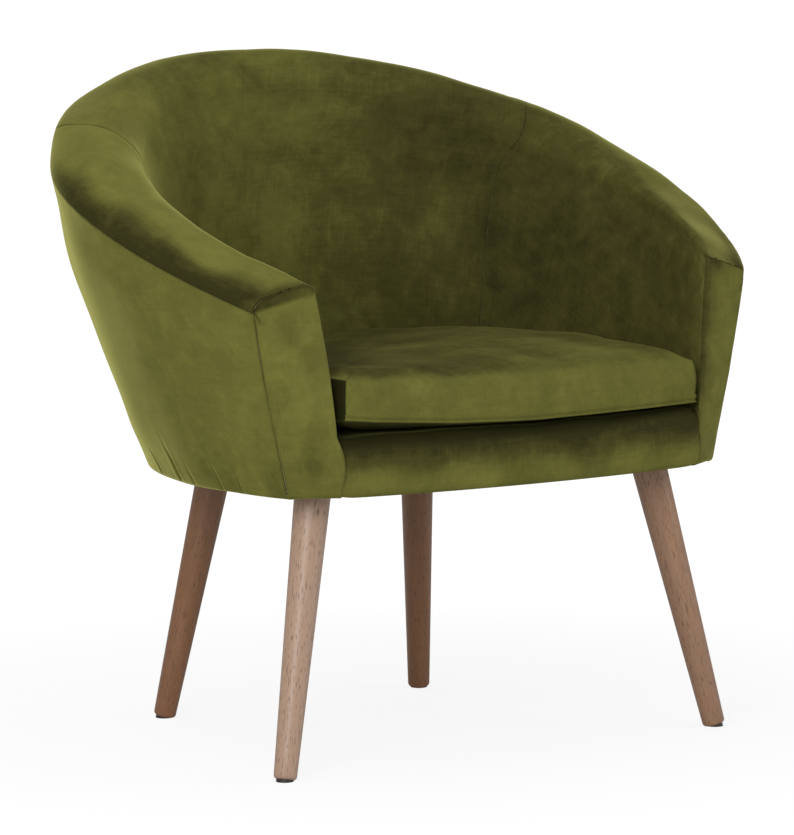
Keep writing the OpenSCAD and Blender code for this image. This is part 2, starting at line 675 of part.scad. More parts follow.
// A ring's share of the outline, its height and its swell, before the inset
function ring_share(k) = k < top_n ? top_shares[k] : k < top_n + side_n ? 1 : bottom_shares[k - top_n - side_n];
function ring_z(k, depth) = k < top_n
    ? cushion_high_z + cushion_crown * pow(1 - pow(ring_share(k), 2), 0.7) - depth
  : k < top_n + side_n ? mix(cushion_high_z - depth, cushion_low_z + depth, side_shares[k - top_n])
  : cushion_z + cushion_lift_edge * pow(max(0, (ring_share(k) - 0.6) / 0.4), 2) + depth;
function ring_swell(k) = k >= top_n && k < top_n + side_n ? cushion_swell * swell(side_shares[k - top_n]) : 0;
function cushion_spot(i, k, depth) = let (
    out = cushion_outline[i % cushion_n] - cushion_mid,
    reach = norm(out) + ring_swell(k) - depth,
    p = cushion_mid + out / norm(out) * reach * ring_share(k)
  ) [p[0], p[1], ring_z(k, depth)];

module cushion_core(depth) {
  first = [for (k = [1:ring_n - 2]) [for (i = [0:cushion_n - 1]) cushion_spot(i, k, depth)]];
  m = cushion_n;
  top = m * len(first);
  function id(k, i) = k * m + i % m;
  polyhedron(
    concat([for (r = first) each r], [cushion_spot(0, 0, depth), cushion_spot(0, ring_n - 1, depth)]),
    concat(
      [for (k = [0:len(first) - 2]) for (i = [0:m - 1])
        each [[id(k, i), id(k + 1, i + 1), id(k, i + 1)], [id(k, i), id(k + 1, i), id(k + 1, i + 1)]]],
      [for (i = [0:m - 1]) [top, id(0, i), id(0, i + 1)]],
      [for (i = [0:m - 1]) [top + 1, id(len(first) - 1, i + 1), id(len(first) - 1, i)]]));
}
// The side of the cushion under its edge, down one column
band_rings = [for (k = [top_n:top_n + side_n - 1]) k];
band_inset = layer_gap + cover_t;
function band_spots(i, depth) = concat(
  [for (k = band_rings) cushion_spot(i, k, depth)],
  [cushion_spot(i, top_n + side_n, depth) + [0, 0, band_inset - depth]]);

// A closed skin of the cushion between two rings, cover_t thick, all the way round,
// with a flap that falls over the side along the given columns
module cushion_cap(edge_k, pole_k, up, flap) {
  step = up ? 1 : -1;
  rings = [for (k = [pole_k + step:step:edge_k]) k];
  m = cushion_n;
  count = len(rings);
  pole = 2 * m * count;
  wide = len(flap);
  deep = side_n + 1;
  outer = [for (k = rings) each [for (i = [0:m - 1]) cushion_spot(i, k, 0)]];
  inner = [for (k = rings) each [for (i = [0:m - 1]) cushion_spot(i, k, cover_t)]];
  fall = [for (depth = [0, cover_t]) each [for (i = flap) each band_spots(i, depth)]];
  function a(k, i) = k * m + i % m;
  function b(k, i) = m * count + a(k, i);
  // The flap's points: row 0 is the edge ring
  function p(r, c) = r == 0 ? a(count - 1, flap[c]) : pole + 1 + c * deep + r;
  function q(r, c) = r == 0 ? b(count - 1, flap[c]) : pole + 1 + (wide + c) * deep + r;
  function turned(f) = up ? [f[0], f[2], f[1]] : f;
  rim = [for (i = [0:m - 1]) if (wide == 0 || i < flap[0]) i];
  falls = wide > 0 ? [for (c = [0:wide - 2]) c] : [];
  polyhedron(concat(outer, inner, [cushion_spot(0, pole_k, 0), cushion_spot(0, pole_k, cover_t)], fall),
    [for (f = concat(
      [for (i = [0:m - 1]) each [[pole, a(0, i + 1), a(0, i)], [pole + 1, b(0, i), b(0, i + 1)]]],
      [for (k = [0:count - 2]) for (i = [0:m - 1]) each [
        [a(k, i), a(k, i + 1), a(k + 1, i + 1)], [a(k, i), a(k + 1, i + 1), a(k + 1, i)],
        [b(k, i), b(k + 1, i + 1), b(k, i + 1)], [b(k, i), b(k + 1, i), b(k + 1, i + 1)]]],
      [for (i = rim) each [
        [a(count - 1, i), a(count - 1, i + 1), b(count - 1, i + 1)],
        [a(count - 1, i), b(count - 1, i + 1), b(count - 1, i)]]],
      [for (c = falls) for (r = [0:deep - 1]) each [
        [p(r, c), p(r, c + 1), p(r + 1, c + 1)], [p(r, c), p(r + 1, c + 1), p(r + 1, c)],
        [q(r, c), q(r + 1, c + 1), q(r, c + 1)], [q(r, c), q(r + 1, c), q(r + 1, c + 1)]]],
      [for (c = falls) each [
        [p(deep, c), p(deep, c + 1), q(deep, c + 1)], [p(deep, c), q(deep, c + 1), q(deep, c)]]],
      [if (wide > 0) for (r = [0:deep - 1]) each [
        [p(r, 0), p(r + 1, 0), q(r + 1, 0)], [p(r, 0), q(r + 1, 0), q(r, 0)],
        [p(r + 1, wide - 1), p(r, wide - 1), q(r, wide - 1)],
        [p(r + 1, wide - 1), q(r, wide - 1), q(r + 1, wide - 1)]]]
    )) turned(f)]);
}
module cushion_foam() { color(foam) cushion_core(panel_d); }
// The top cover falls over the front between the front corners
module cushion_top_cover() {
  color(velvet) cushion_cap(top_n - 1, 0, true, [for (i = [cushion_side_steps:cushion_n]) i]);
}
module cushion_bottom_cover() { color(velvet) cushion_cap(top_n + side_n, ring_n - 1, false, []); }
module band(from, to) {
  function strip(depth) = [for (i = [to:-1:from]) concat(
    [cushion_spot(i, top_n - 1, depth) - [0, 0, band_inset - depth]], band_spots(i, depth))];
  slab(strip(0), strip(cover_t));
}
// The zip band runs round the back, between these numbered points of the outline
zip_first = 4;
zip_last = cushion_side_steps - zip_first;
module cushion_side_bands() {
  color(velvet) {
    band(0, zip_first);
    band(zip_last, cushion_side_steps);
  }
}
module cushion_zip_band() { color(velvet) band(zip_first, zip_last); }
zip_proud = 1;
module cushion_zip() {
  mid_k = top_n + 1;
  function strip(depth) = [for (i = [zip_first + 2:zip_last - 2]) [for (up = [-0.5, 0.5])
    cushion_spot(i, mid_k, depth) + [0, 0, up * zip_h]]];
  color(cloth) slab(strip(-layer_gap - zip_proud), strip(-layer_gap));
}

leg(leg_places[0]);  // leg_front_left
leg(leg_places[1]);  // leg_front_right
leg(leg_places[2]);  // leg_back_left
leg(leg_places[3]);  // leg_back_right
foot_glides();
hanger_bolts();
tee_nuts();
front_leg_board();
back_leg_board();
front_rail();
side_rail(true);  // side_rail_left
side_rail(false);  // side_rail_right
back_rail();
arm_post(true);  // arm_post_left
arm_post(false);  // arm_post_right
wall_posts();
arm_top_rail(true);  // arm_top_rail_left
arm_top_rail(false);  // arm_top_rail_right
back_top_rail();
tub_liner();
outside_panel(true);  // outside_panel_left
outside_panel(false);  // outside_panel_right
webbing_lengthwise();
webbing_crosswise();
deck_pad();
deck_cover();
rail_padding();
rail_cover();
back_foam();
arm_foam(true);  // arm_foam_left
arm_foam(false);  // arm_foam_right
rim_roll_back();
rim_roll_side(true);  // rim_roll_left
rim_roll_side(false);  // rim_roll_right
facing_pad(true);  // facing_pad_left
facing_pad(false);  // facing_pad_right
arm_facing(true);  // arm_facing_left
arm_facing(false);  // arm_facing_right
outside_cover(true);  // outside_cover_left
outside_cover(false);  // outside_cover_right
arm_cover(true);  // arm_cover_left
arm_cover(false);  // arm_cover_right
inside_back_cover();
dust_cover();
cushion_foam();
cushion_top_cover();
cushion_side_bands();
cushion_zip_band();
cushion_bottom_cover();
cushion_zip();
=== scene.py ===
# %% [markdown]
# # A tub chair in olive velvet
# The chair is a horseshoe shell of timber, board and foam with velvet pulled
# over it, a loose seat cushion and four splayed legs. The frame that comes from
# the CAD step fixes every place and size; this lesson dresses it. Each step says
# what the piece is on a real chair, how it could be made, and why this way.

# %% Load the frame
import json
import math

import bmesh
import bpy
import numpy as np
from mathutils import Matrix, Vector
from mathutils.kdtree import KDTree


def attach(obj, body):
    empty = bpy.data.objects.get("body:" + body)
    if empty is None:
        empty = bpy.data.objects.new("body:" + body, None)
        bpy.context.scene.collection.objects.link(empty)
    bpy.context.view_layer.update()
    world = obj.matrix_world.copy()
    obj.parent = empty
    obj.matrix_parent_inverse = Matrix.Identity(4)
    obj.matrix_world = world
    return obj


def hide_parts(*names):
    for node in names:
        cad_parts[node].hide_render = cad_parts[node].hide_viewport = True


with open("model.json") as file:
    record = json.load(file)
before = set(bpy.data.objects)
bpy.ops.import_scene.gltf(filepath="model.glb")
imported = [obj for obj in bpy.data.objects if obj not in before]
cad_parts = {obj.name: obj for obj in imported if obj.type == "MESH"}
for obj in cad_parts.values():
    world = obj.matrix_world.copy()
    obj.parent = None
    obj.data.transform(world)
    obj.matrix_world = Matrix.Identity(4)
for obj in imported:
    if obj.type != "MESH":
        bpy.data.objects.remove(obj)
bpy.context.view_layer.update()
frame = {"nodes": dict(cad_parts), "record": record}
bpy.ops.object.select_all(action="DESELECT")

# %% [markdown]
# ## The camera
# The photograph was taken with a long lens from a little above the seat, in
# front of the left arm. The camera comes first, because every later choice is
# judged through it.

# %% Camera
AIM = Vector((-0.003, -0.0575, 0.351))
TURN = math.radians(-35.751)
RISE = math.radians(6.644)
FAR = 6.0
LONG_SIDE_PX = 835
FOCAL_PX = 5367.35
SENSOR_MM = 36.0


def put(name, data):
    """A new object in the scene, at the origin."""
    thing = bpy.data.objects.new(name, data)
    bpy.context.scene.collection.objects.link(thing)
    return thing


level = math.cos(RISE)
eye = AIM + FAR * Vector((math.sin(TURN) * level, -math.cos(TURN) * level, math.sin(RISE)))
lens = bpy.data.cameras.new("camera")
lens.sensor_width = SENSOR_MM
lens.lens = FOCAL_PX * SENSOR_MM / LONG_SIDE_PX
lens.clip_start = 0.05
camera = put("camera", lens)
camera.location = eye
camera.rotation_euler = (AIM - eye).to_track_quat("-Z", "Y").to_euler()
bpy.context.scene.camera = camera
print("camera at", [round(v, 3) for v in eye], "lens", round(lens.lens, 1), "mm")

# %% [markdown]
# ## The shape of the wall
# The wall is a family of sections. A share says where a section stands: 0 in the
# middle of the back, 1 at the front of an arm. The same few numbers drive the
# timber, the foam and the velvet, so the covers laid here nest over the frame
# without any fitting. All lengths are in metres.

# %% Numbers of the wall
HEIGHT = 0.750
UNDERSIDE = 0.306
DEPTH = 0.629
RIM_HALF_W, BASE_HALF_W = 0.347, 0.281
RIM_HALF_L, BASE_HALF_L = 0.355, 0.360
BACK_RAKE, FRONT_BOW, FRONT_LEAN, RIM_FALL = 0.067, 0.020, 0.007, 0.226
BASE_T, BACK_RIM_T, MID_RIM_T, FRONT_RIM_T = 0.054, 0.086, 0.104, 0.069
BACK_ROLL_H, FRONT_ROLL_H = 0.050, 0.014
OUTSIDE_SWELL, INSIDE_SWELL = 0.010, 0.008
BASE_TURN, RIM_TURN = math.radians(33), math.radians(13)
# Shares from which the section turns to the front, its roll flattens and its swell
# fades, and the share where the rim is thickest and starts to slope
TURN_FROM, FLAT_FROM, FADE_FROM, THICKEST = 0.55, 0.35, 0.6, 0.5
RIM_SLOPE = -0.275
COVER_T = 0.002
INSIDE_Z, DECK_Z = 0.3463, 0.3626
FRONT_Y = 0.007 - DEPTH / 2
ARM_FRONT_Y = FRONT_Y + FRONT_BOW
RIM_BACK_Y = DEPTH / 2 - BACK_RIM_T / 2
BASE_BACK_Y = RIM_BACK_Y - BACK_RAKE


def soft(x):
    """0 up to 0, 1 from 1 on, and an even rise between."""
    c = np.clip(x, 0, 1)
    return c * c * (3 - 2 * c)


def mix(a, b, t):
    return a + (b - a) * t


def late(s, start):
    """0 up to the share start, rising to 1 at the front of an arm."""
    return soft((np.abs(s) - start) / (1 - start))


print("front of the rail at", round(FRONT_Y, 4), "back of the rim at", round(DEPTH / 2, 4))

# %% The wall's middle line


def halves(rise):
    return mix(BASE_HALF_W, RIM_HALF_W, rise), mix(BASE_HALF_L, RIM_HALF_L, rise)


def end_angle(rise):
    half = mix(BASE_HALF_L, RIM_HALF_L, rise)
    mid_y = mix(BASE_BACK_Y, RIM_BACK_Y, rise) - half
    end_y = ARM_FRONT_Y + FRONT_LEAN * rise + BASE_T / 2 * math.sin(BASE_TURN)
    return np.arccos((end_y - mid_y) / half)


def middle(s, rise):
    half_w, half_l = halves(rise)
    a = s * end_angle(rise)
    y = mix(BASE_BACK_Y, RIM_BACK_Y, rise) - half_l + half_l * np.cos(a)
    return np.stack([half_w * np.sin(a), y], -1)


def unit(v):
    return v / np.maximum(np.linalg.norm(v, axis=-1, keepdims=True), 1e-12)


def outward(s, rise):
    """Level, square to the middle line, and turned to the front near the arm's end."""
    half_w, half_l = halves(rise)
    a, turn = s * end_angle(rise), mix(BASE_TURN, RIM_TURN, rise)
    b = late(s, TURN_FROM)[..., None]
    square = unit(np.stack([np.sin(a) / half_w, np.cos(a) / half_l], -1))
    front = np.stack([np.sign(s) * np.cos(turn), np.sin(turn)], -1)
    return unit((1 - b) * square + b * front)


WALL_L = float(end_angle(0.0)) * BASE_HALF_L
print("wall", round(WALL_L, 3), "m from the middle of the back to an arm front")

# %% The wall's outside, inside and rim


def roll_h(s):
    return mix(BACK_ROLL_H, FRONT_ROLL_H, late(s, FLAT_FROM))


def crease_z(s):
    e = float(end_angle(1.0))
    return HEIGHT - RIM_FALL * (1 - np.cos(s * e)) / (1 - math.cos(e)) - roll_h(s)


def half_t(s, rise):
    behind = mix(BACK_RIM_T, MID_RIM_T, soft(np.abs(s) / THICKEST))
    thick = np.where(np.abs(s) < THICKEST, behind, mix(MID_RIM_T, FRONT_RIM_T, late(s, THICKEST)))
    return mix(BASE_T, thick, rise) / 2


def slope(s):
    return RIM_SLOPE * late(s, THICKEST)


def wall(s, z, off_of_rise):
    rise = (z - UNDERSIDE) / (crease_z(s) - UNDERSIDE)
    off = off_of_rise(rise)
    flat = middle(s, rise) + outward(s, rise) * off[..., None]
    return np.concatenate([flat, (z + slope(s) * off * rise ** 3)[..., None]], -1)


def outside(s, z, depth=0.0):
    def off(rise):
        swell = OUTSIDE_SWELL * 4 * rise * (1 - rise) * (1 - late(s, FADE_FROM))
        return half_t(s, rise) + swell - depth
    return wall(s, z, off)


def inside(s, z, depth=0.0):
    def off(rise):
        return depth - half_t(s, rise) - INSIDE_SWELL * 4 * rise * (1 - rise)
    return wall(s, z, off)


# The rims weren't stuffed alike: how square each is at its front, the right one more
FULL = {-1: 3.2, 1: 8.0}


def rim(s, angle, full=FULL[-1]):
    """The rolled rim: angle 0 is the outer crease, pi the inner side."""
    top = np.ones_like(s)
    power = 2 / mix(2.0, full, late(s, FADE_FROM))
    off = half_t(s, top) * np.sign(np.cos(angle)) * np.abs(np.cos(angle)) ** power
    lift = roll_h(s) * np.abs(np.sin(angle)) ** power
    flat = middle(s, top) + outward(s, top) * off[..., None]
    return np.concatenate([flat, (crease_z(s) + lift + slope(s) * off)[..., None]], -1)


ARM_TOP_Z = float(crease_z(1.0))
print("crease", round(float(crease_z(0.0)), 3), "m high behind,", round(ARM_TOP_Z, 3), "m in front")

# %% [markdown]
# ## How a cover is laid
# A cover is cut cloth, so it is a grid of points: columns run along the wall and
# rows run round its section. A grid primitive gives the faces, numpy places the
# points, and a Solidify modifier gives the cloth its 2 mm of pile and wadding.
# Extruding and scaling by hand couldn't hold these double curves. Rows and
# columns crowd together at the seams, where the cloth dips into its stitching.
# Each cover keeps its own cloth coordinates in metres as a UV map, and two
# attributes: seam says how near a stitched edge is, and nap how far the pile lies
# the other way. Both also carry painted shade: in folds, under the cushion, along
# the rail's crest and down the inside of the shell.

# %% Helpers for grids of cloth
# How far from a seam the cloth's crowded columns lie
CROWDED = np.array([0.0, 0.0008, 0.0016, 0.0026, 0.004, 0.006, 0.009])


def spread(length, step, start=True, end=True):
    """Shares from 0 to 1 at about one step, crowded at the ends that have seams."""
    head = CROWDED if start else CROWDED[:1]
    tail = length - (CROWDED[::-1] if end else CROWDED[:1])
    count = max(2, round((tail[0] - head[-1]) / step))
    return np.concatenate([head, np.linspace(head[-1], tail[0], count + 1)[1:-1], tail]) / length


def run_of(path):
    """How far each point lies from the first, along a line or down a grid's columns."""
    step = np.linalg.norm(np.diff(path, axis=0), axis=-1)
    return np.concatenate([np.zeros_like(step[:1]), np.cumsum(step, 0)])


def evenly(path, shares):
    """A path's points per column, moved to shares of that column's length."""
    out = np.empty((len(shares),) + path.shape[1:])
    run = run_of(path)
    for c in range(path.shape[1]):
        at = shares * run[-1, c]
        for k in range(3):
            out[:, c, k] = np.interp(at, run[:, c], path[:, c, k])
    return out


def spans(grid):
    """Distance of each point along its row and down its column."""
    return run_of(grid.swapaxes(0, 1)).T, run_of(grid)


def normals(grid):
    return unit(np.cross(np.gradient(grid, axis=1), np.gradient(grid, axis=0)))


def ripple(points, wave, seed, count=16):
    """Smooth, seeded unevenness with about unit spread, for foam and hand work."""
    rng = np.random.default_rng(seed)
    k = unit(rng.normal(size=(count, 3))) * rng.uniform(0.6, 1.6, (count, 1)) * 2 * math.pi / wave
    return np.sin(points @ k.T + rng.uniform(0, 2 * math.pi, count)).sum(-1) / math.sqrt(count / 2)


def bell(distance, width):
    """1 at no distance, and nearly 0 from two widths on."""
    return np.exp(-((distance / width) ** 2))


def from_ends(across, side):
    """Distances from the back end and from the front end of a side's rows."""
    rest = across[:, -1:] - across
    return (across, rest) if side < 0 else (rest, across)


def puckers(grid, to_edge, wave, seed, high=0.0002):
    """Small gathers of the cloth beside its stitching, gone some 40 mm from it."""
    return ripple(grid, wave, seed) * high * np.exp(-to_edge / 0.012) * (1 - np.exp(-to_edge / 0.003))


def rounded(distance, radius):
    """How far a turned-in edge drops, at a distance from it."""
    d = np.clip(distance, 0, radius)
    return radius - np.sqrt(np.maximum(radius ** 2 - (radius - d) ** 2, 0))


print("a seam's crowded columns:", np.round(spread(0.1, 0.005)[:8] * 100, 2), "mm from the edge")

# %% Lay a cover as a mesh


def deselect():
    bpy.ops.object.select_all(action="DESELECT")


def alone(piece):
    deselect()
    piece.select_set(True)
    bpy.context.view_layer.objects.active = piece


def finish_with(piece, kind, **settings):
    alone(piece)
    modifier = piece.modifiers.new(kind.lower(), kind)
    for key, value in settings.items():
        setattr(modifier, key, value)
    bpy.ops.object.modifier_apply(modifier=modifier.name)


def smooth(piece):
    alone(piece)
    bpy.ops.object.shade_smooth()


def read_points(piece):
    co = np.empty(len(piece.data.vertices) * 3)
    piece.data.vertices.foreach_get("co", co)
    return co.reshape(-1, 3)


def write_attribute(piece, name, values, kind="FLOAT"):
    layer = piece.data.attributes.new(name, kind, "POINT")
    slot = "value" if kind == "FLOAT" else "vector"
    layer.data.foreach_set(slot, np.asarray(values, np.float32).ravel())


def write_cloth(piece, layer, cloth):
    """Cloth coordinates, given per point, go to every corner of the faces."""
    corner = np.empty(len(piece.data.loops), np.int32)
    piece.data.loops.foreach_get("vertex_index", corner)
    layer.uv.foreach_set("vector", cloth[corner].astype(np.float32).ravel())


def lay(name, grid, seam, nap, thick=COVER_T):
    """A cover from a grid of points whose rows and columns turn its face outwards."""
    rows, cols = grid.shape[:2]
    deselect()
    bpy.ops.mesh.primitive_grid_add(x_subdivisions=cols - 1, y_subdivisions=rows - 1)
    piece = bpy.context.object
    piece.name = piece.data.name = name
    mesh = piece.data
    mesh.vertices.foreach_set("co", grid.astype(np.float32).ravel())
    mesh.uv_layers[0].name = "cloth"
    write_cloth(piece, mesh.uv_layers[0], np.stack(spans(grid), -1).reshape(-1, 2))
    write_attribute(piece, "seam", seam)
    write_attribute(piece, "nap", nap)
    mesh.update()
    finish_with(piece, "SOLIDIFY", thickness=thick, offset=-1)
    smooth(piece)
    print(name, len(piece.data.polygons), "faces")
    return piece


def dressed(grid, height):
    """The grid raised by height, along its own normals."""
    return grid + normals(grid) * height[..., None]


print("covers are", COVER_T * 1000, "mm thick")

# %% [markdown]
# ## The outside velvet
# On each side one length of velvet hangs from the seam under the rim. Its lower
# edge is pulled round the base and stapled underneath, which leaves the little
# tucks at the lower back. The halves meet in a seam down the middle of the back,
# and at the arm front the cloth is double stitched to the facing.

# %% Turn an edge under the base
LIP, HEM_R, HANG = 0.012, 0.005, 0.004
HEM_TURNS = np.radians([90, 70, 50, 30, 12])


def under(path, inwards, radius):
    """Rows that lead from under the base, round its edge, to the foot of a path."""
    foot = path[0] * [1, 1, 0] + np.array([0, 0, UNDERSIDE])
    rows = [foot + inwards * (radius + LIP)[:, None]]
    for turn in HEM_TURNS:
        lift = (radius * (1 - math.sin(turn)))[:, None]
        rows.append(foot + inwards * (radius * (1 - math.cos(turn)))[:, None] + lift * [0, 0, 1])
    return np.concatenate([np.array(rows), path[1:]])


def settled(grid):
    """The velvet's lower edges hang 4 mm over the dust cloth."""
    return grid - (HANG * soft((0.335 - grid[..., 2]) / 0.029))[..., None] * [0, 0, 1]


SETBACK = 0.0012
FRONT_SHARE = 1 - SETBACK / WALL_L
HAND = {-1: "left", 1: "right"}


def outside_half():
    s = mix(0.0006, FRONT_SHARE, spread(WALL_L, 0.0022))
    radius = np.full_like(s, HEM_R)
    high = crease_z(s) - UNDERSIDE - radius
    z = UNDERSIDE + radius[None, :] + high[None, :] * np.linspace(0, 1, 200)[:, None]
    face = outside(np.broadcast_to(s, z.shape), z)
    inwards = np.pad(-outward(s, np.zeros_like(s)), ((0, 0), (0, 1)))
    path = under(np.concatenate([face[:1], face]), inwards, radius)
    return evenly(path, spread(0.36, 0.004, start=False)), s


print("outside cloth: share of its front edge", round(FRONT_SHARE, 5))

# %% Shape the outside velvet
# Each tuck: its share along the wall, the share at its upper end, how high it
# reaches, how deep it is and how wide. On the right they sit a little further on.
TUCKS = [
    (0.722, 0.698, 0.056, 0.0021, 0.0030),
    (0.636, 0.620, 0.042, 0.0016, 0.0026),
    (0.848, 0.832, 0.048, 0.0018, 0.0028),
    (0.899, 0.884, 0.038, 0.0015, 0.0026),
    (0.772, 0.762, 0.030, 0.0009, 0.0024),
    (0.41, 0.36, 0.050, 0.0015, 0.003),
    (0.20, 0.16, 0.045, 0.0012, 0.003),
]
FURTHER_ON = {-1: 1.0, 1: 1.04}
# How much the velvet swells 0.23 m above the base, and at its foot
SWELL_BY, FOOT_SWELL = {-1: 0.0035, 1: 0.0015}, 0.0028


def tucked(grid, share):
    """Pulls in the cloth over its staples: height, and the painted shade in the fold's valley."""
    height, dark = np.zeros(grid.shape[:2]), np.zeros(grid.shape[:2])
    for foot_share, top_share, reach, deep, wide in TUCKS:
        up = np.clip((grid[..., 2] - UNDERSIDE) / reach, 0, 1)
        line = mix(foot_share, top_share, up)
        gap = (share - line) * WALL_L
        shoulder = 0.35 * deep * bell(np.abs(gap) - 2.2 * wide, 1.6 * wide)
        fold = -deep * bell(gap, wide * mix(1.2, 0.6, up)) + shoulder
        height += fold * (1 - soft(up)) * soft(up * 7)
        # Painted shade down the valley of each fold
        dark = np.maximum(dark, bell(gap, 0.45 * wide) * (1 - soft(up)) * deep / 0.0022)
    return height, dark


def outside_velvet(side):
    right, s = outside_half()
    share = np.broadcast_to(s, right.shape[:2]) * FURTHER_ON[side]
    grid = right * [side, 1, 1]
    if side > 0:
        grid, share = grid[:, ::-1], share[:, ::-1]
    z = grid[..., 2]
    across, down = spans(grid)
    to_top = down[-1:] - down
    to_back, to_front = from_ends(across, side)
    to_edge = np.minimum.reduce([to_top, to_back, to_front])
    height = 0.0007 * ripple(grid, 0.16, 12) * soft(to_top / 0.05) * soft(down / 0.03)
    fuller = SWELL_BY[side] * bell(z - 0.535, 0.055) + FOOT_SWELL * bell(z - 0.345, 0.03)
    height += fuller * soft(to_front / 0.10) * soft(to_top / 0.06)
    fold, dark = tucked(grid, share)
    height += puckers(grid, to_edge, 0.022, 11, 0.00018) + fold
    height -= 0.4 * rounded(to_top, 0.0014) + rounded(to_back, 0.0013) + rounded(to_front, 0.0014)
    nap = 0.22 + 0.12 * bell(z - UNDERSIDE, 0.05) * soft(ripple(grid, 0.09, 13))
    seam = np.maximum.reduce([bell(to_top, 0.0016), bell(to_back, 0.0014), bell(to_front, 0.0014)])
    seam = seam * np.where(to_top < 0.004, 0.3, 0.45) * soft((z - UNDERSIDE) / 0.012)
    return lay("outside_velvet_" + HAND[side], settled(dressed(grid, height)), np.maximum(seam, dark), nap)


outsides = [outside_velvet(side) for side in HAND]

# %% [markdown]
# ## The inside velvet
# The inside is three covers: one on each arm, which starts in the seam under the
# rim, goes over the roll and down to the deck, and one on the back between them.
# The seam between arm and back sweeps forward over the rim. The pile of the arm
# covers runs inwards, so on the outer slope of the roll it is seen against its
# lie and looks nearly black: the nap attribute holds that dark band, and painted
# shade down the inside of the shell.

# %% Paths over the rim
SEAM_TURNS = (0.0, 0.38, 0.57, 0.75, 0.90, 1.0, 1.1, 1.3, 2.0)
SEAM_SHARES = (0.385, 0.467, 0.489, 0.508, 0.505, 0.484, 0.466, 0.460, 0.459)
SEAM_GAP = 0.0003


def over_rim(s, t, full):
    """t from 0 at the outer crease to 1 at the inner side, then to 2 at the deck."""
    top = rim(s, np.clip(t, 0, 1) * math.pi, full)
    z = mix(crease_z(s), INSIDE_Z, np.clip(t - 1, 0, 1))
    return np.where((t <= 1)[..., None], top, inside(s, z))


def seam_share(t):
    fine = np.linspace(0, 2, 401)
    line = np.pad(np.interp(fine, SEAM_TURNS, SEAM_SHARES), 15, mode="edge")
    return np.interp(t, fine, np.convolve(line, np.ones(31) / 31, mode="valid"))


def over_rim_grid(low, high, columns, full=FULL[-1]):
    """Columns between two seams given as functions of t, and the t of each point."""
    t = np.concatenate([np.linspace(0, 1, 260), np.linspace(1, 2, 260)[1:]])[:, None]
    s = mix(low(t), high(t), columns[None, :])
    grid = over_rim(s, np.broadcast_to(t, s.shape), full)
    shares = spread(0.48, 0.005, end=False)
    run = run_of(grid)
    turn = [np.interp(shares * run[-1, c], run[:, c], t[:, 0]) for c in range(len(columns))]
    return evenly(grid, shares), np.stack(turn, 1)


# Hands stuff the roll unevenly: how much fuller it is than drawn, at shares on its right
FULLER_AT = (0.10, 0.18, 0.25, 0.375, 0.44, 0.47, 0.565, 0.60, 0.63, 0.67, 0.71, 0.75)
FULLER_BY = (0.0, 0.0022, 0.0038, 0.0047, 0.0064, 0.0070, 0.0068, 0.0058, 0.0054, 0.0032, 0.0020, 0.0)
# The foam lies close under the velvet, so hollows are no deeper than this
HOLLOW = -0.0011


def stuffed(grid, turn):
    """How far the roll's stuffing lifts the velvet; on the left it bulges at one place."""
    forward = (grid[..., 1] - (RIM_BACK_Y - RIM_HALF_L)) / RIM_HALF_L
    around = np.arctan2(grid[..., 0] / RIM_HALF_W, forward) / float(end_angle(1.0))
    lift = np.interp(around, FULLER_AT, FULLER_BY) * np.sin(math.pi * np.clip(turn, 0, 1))
    return lift + 0.0058 * bell(around + 0.385, 0.075) * bell(turn - 0.2, 0.12) * soft(turn / 0.06)


print("seam between arm and back at shares", SEAM_SHARES)

# %% The arm velvet
BULGE = {-1: 0.0070, 1: 0.0012}


def over_rail(side, z):
    """How far the facing's pad bulges over the rail's end, more on the left."""
    return BULGE[side] * np.sin(np.clip((z - UNDERSIDE) / 0.060, 0, 1) * math.pi) ** 0.8


def fading(turn):
    """The stitched line is darkest over the roll and faint down the inside."""
    return mix(0.7, 0.3, soft((turn - 0.9) / 0.2))


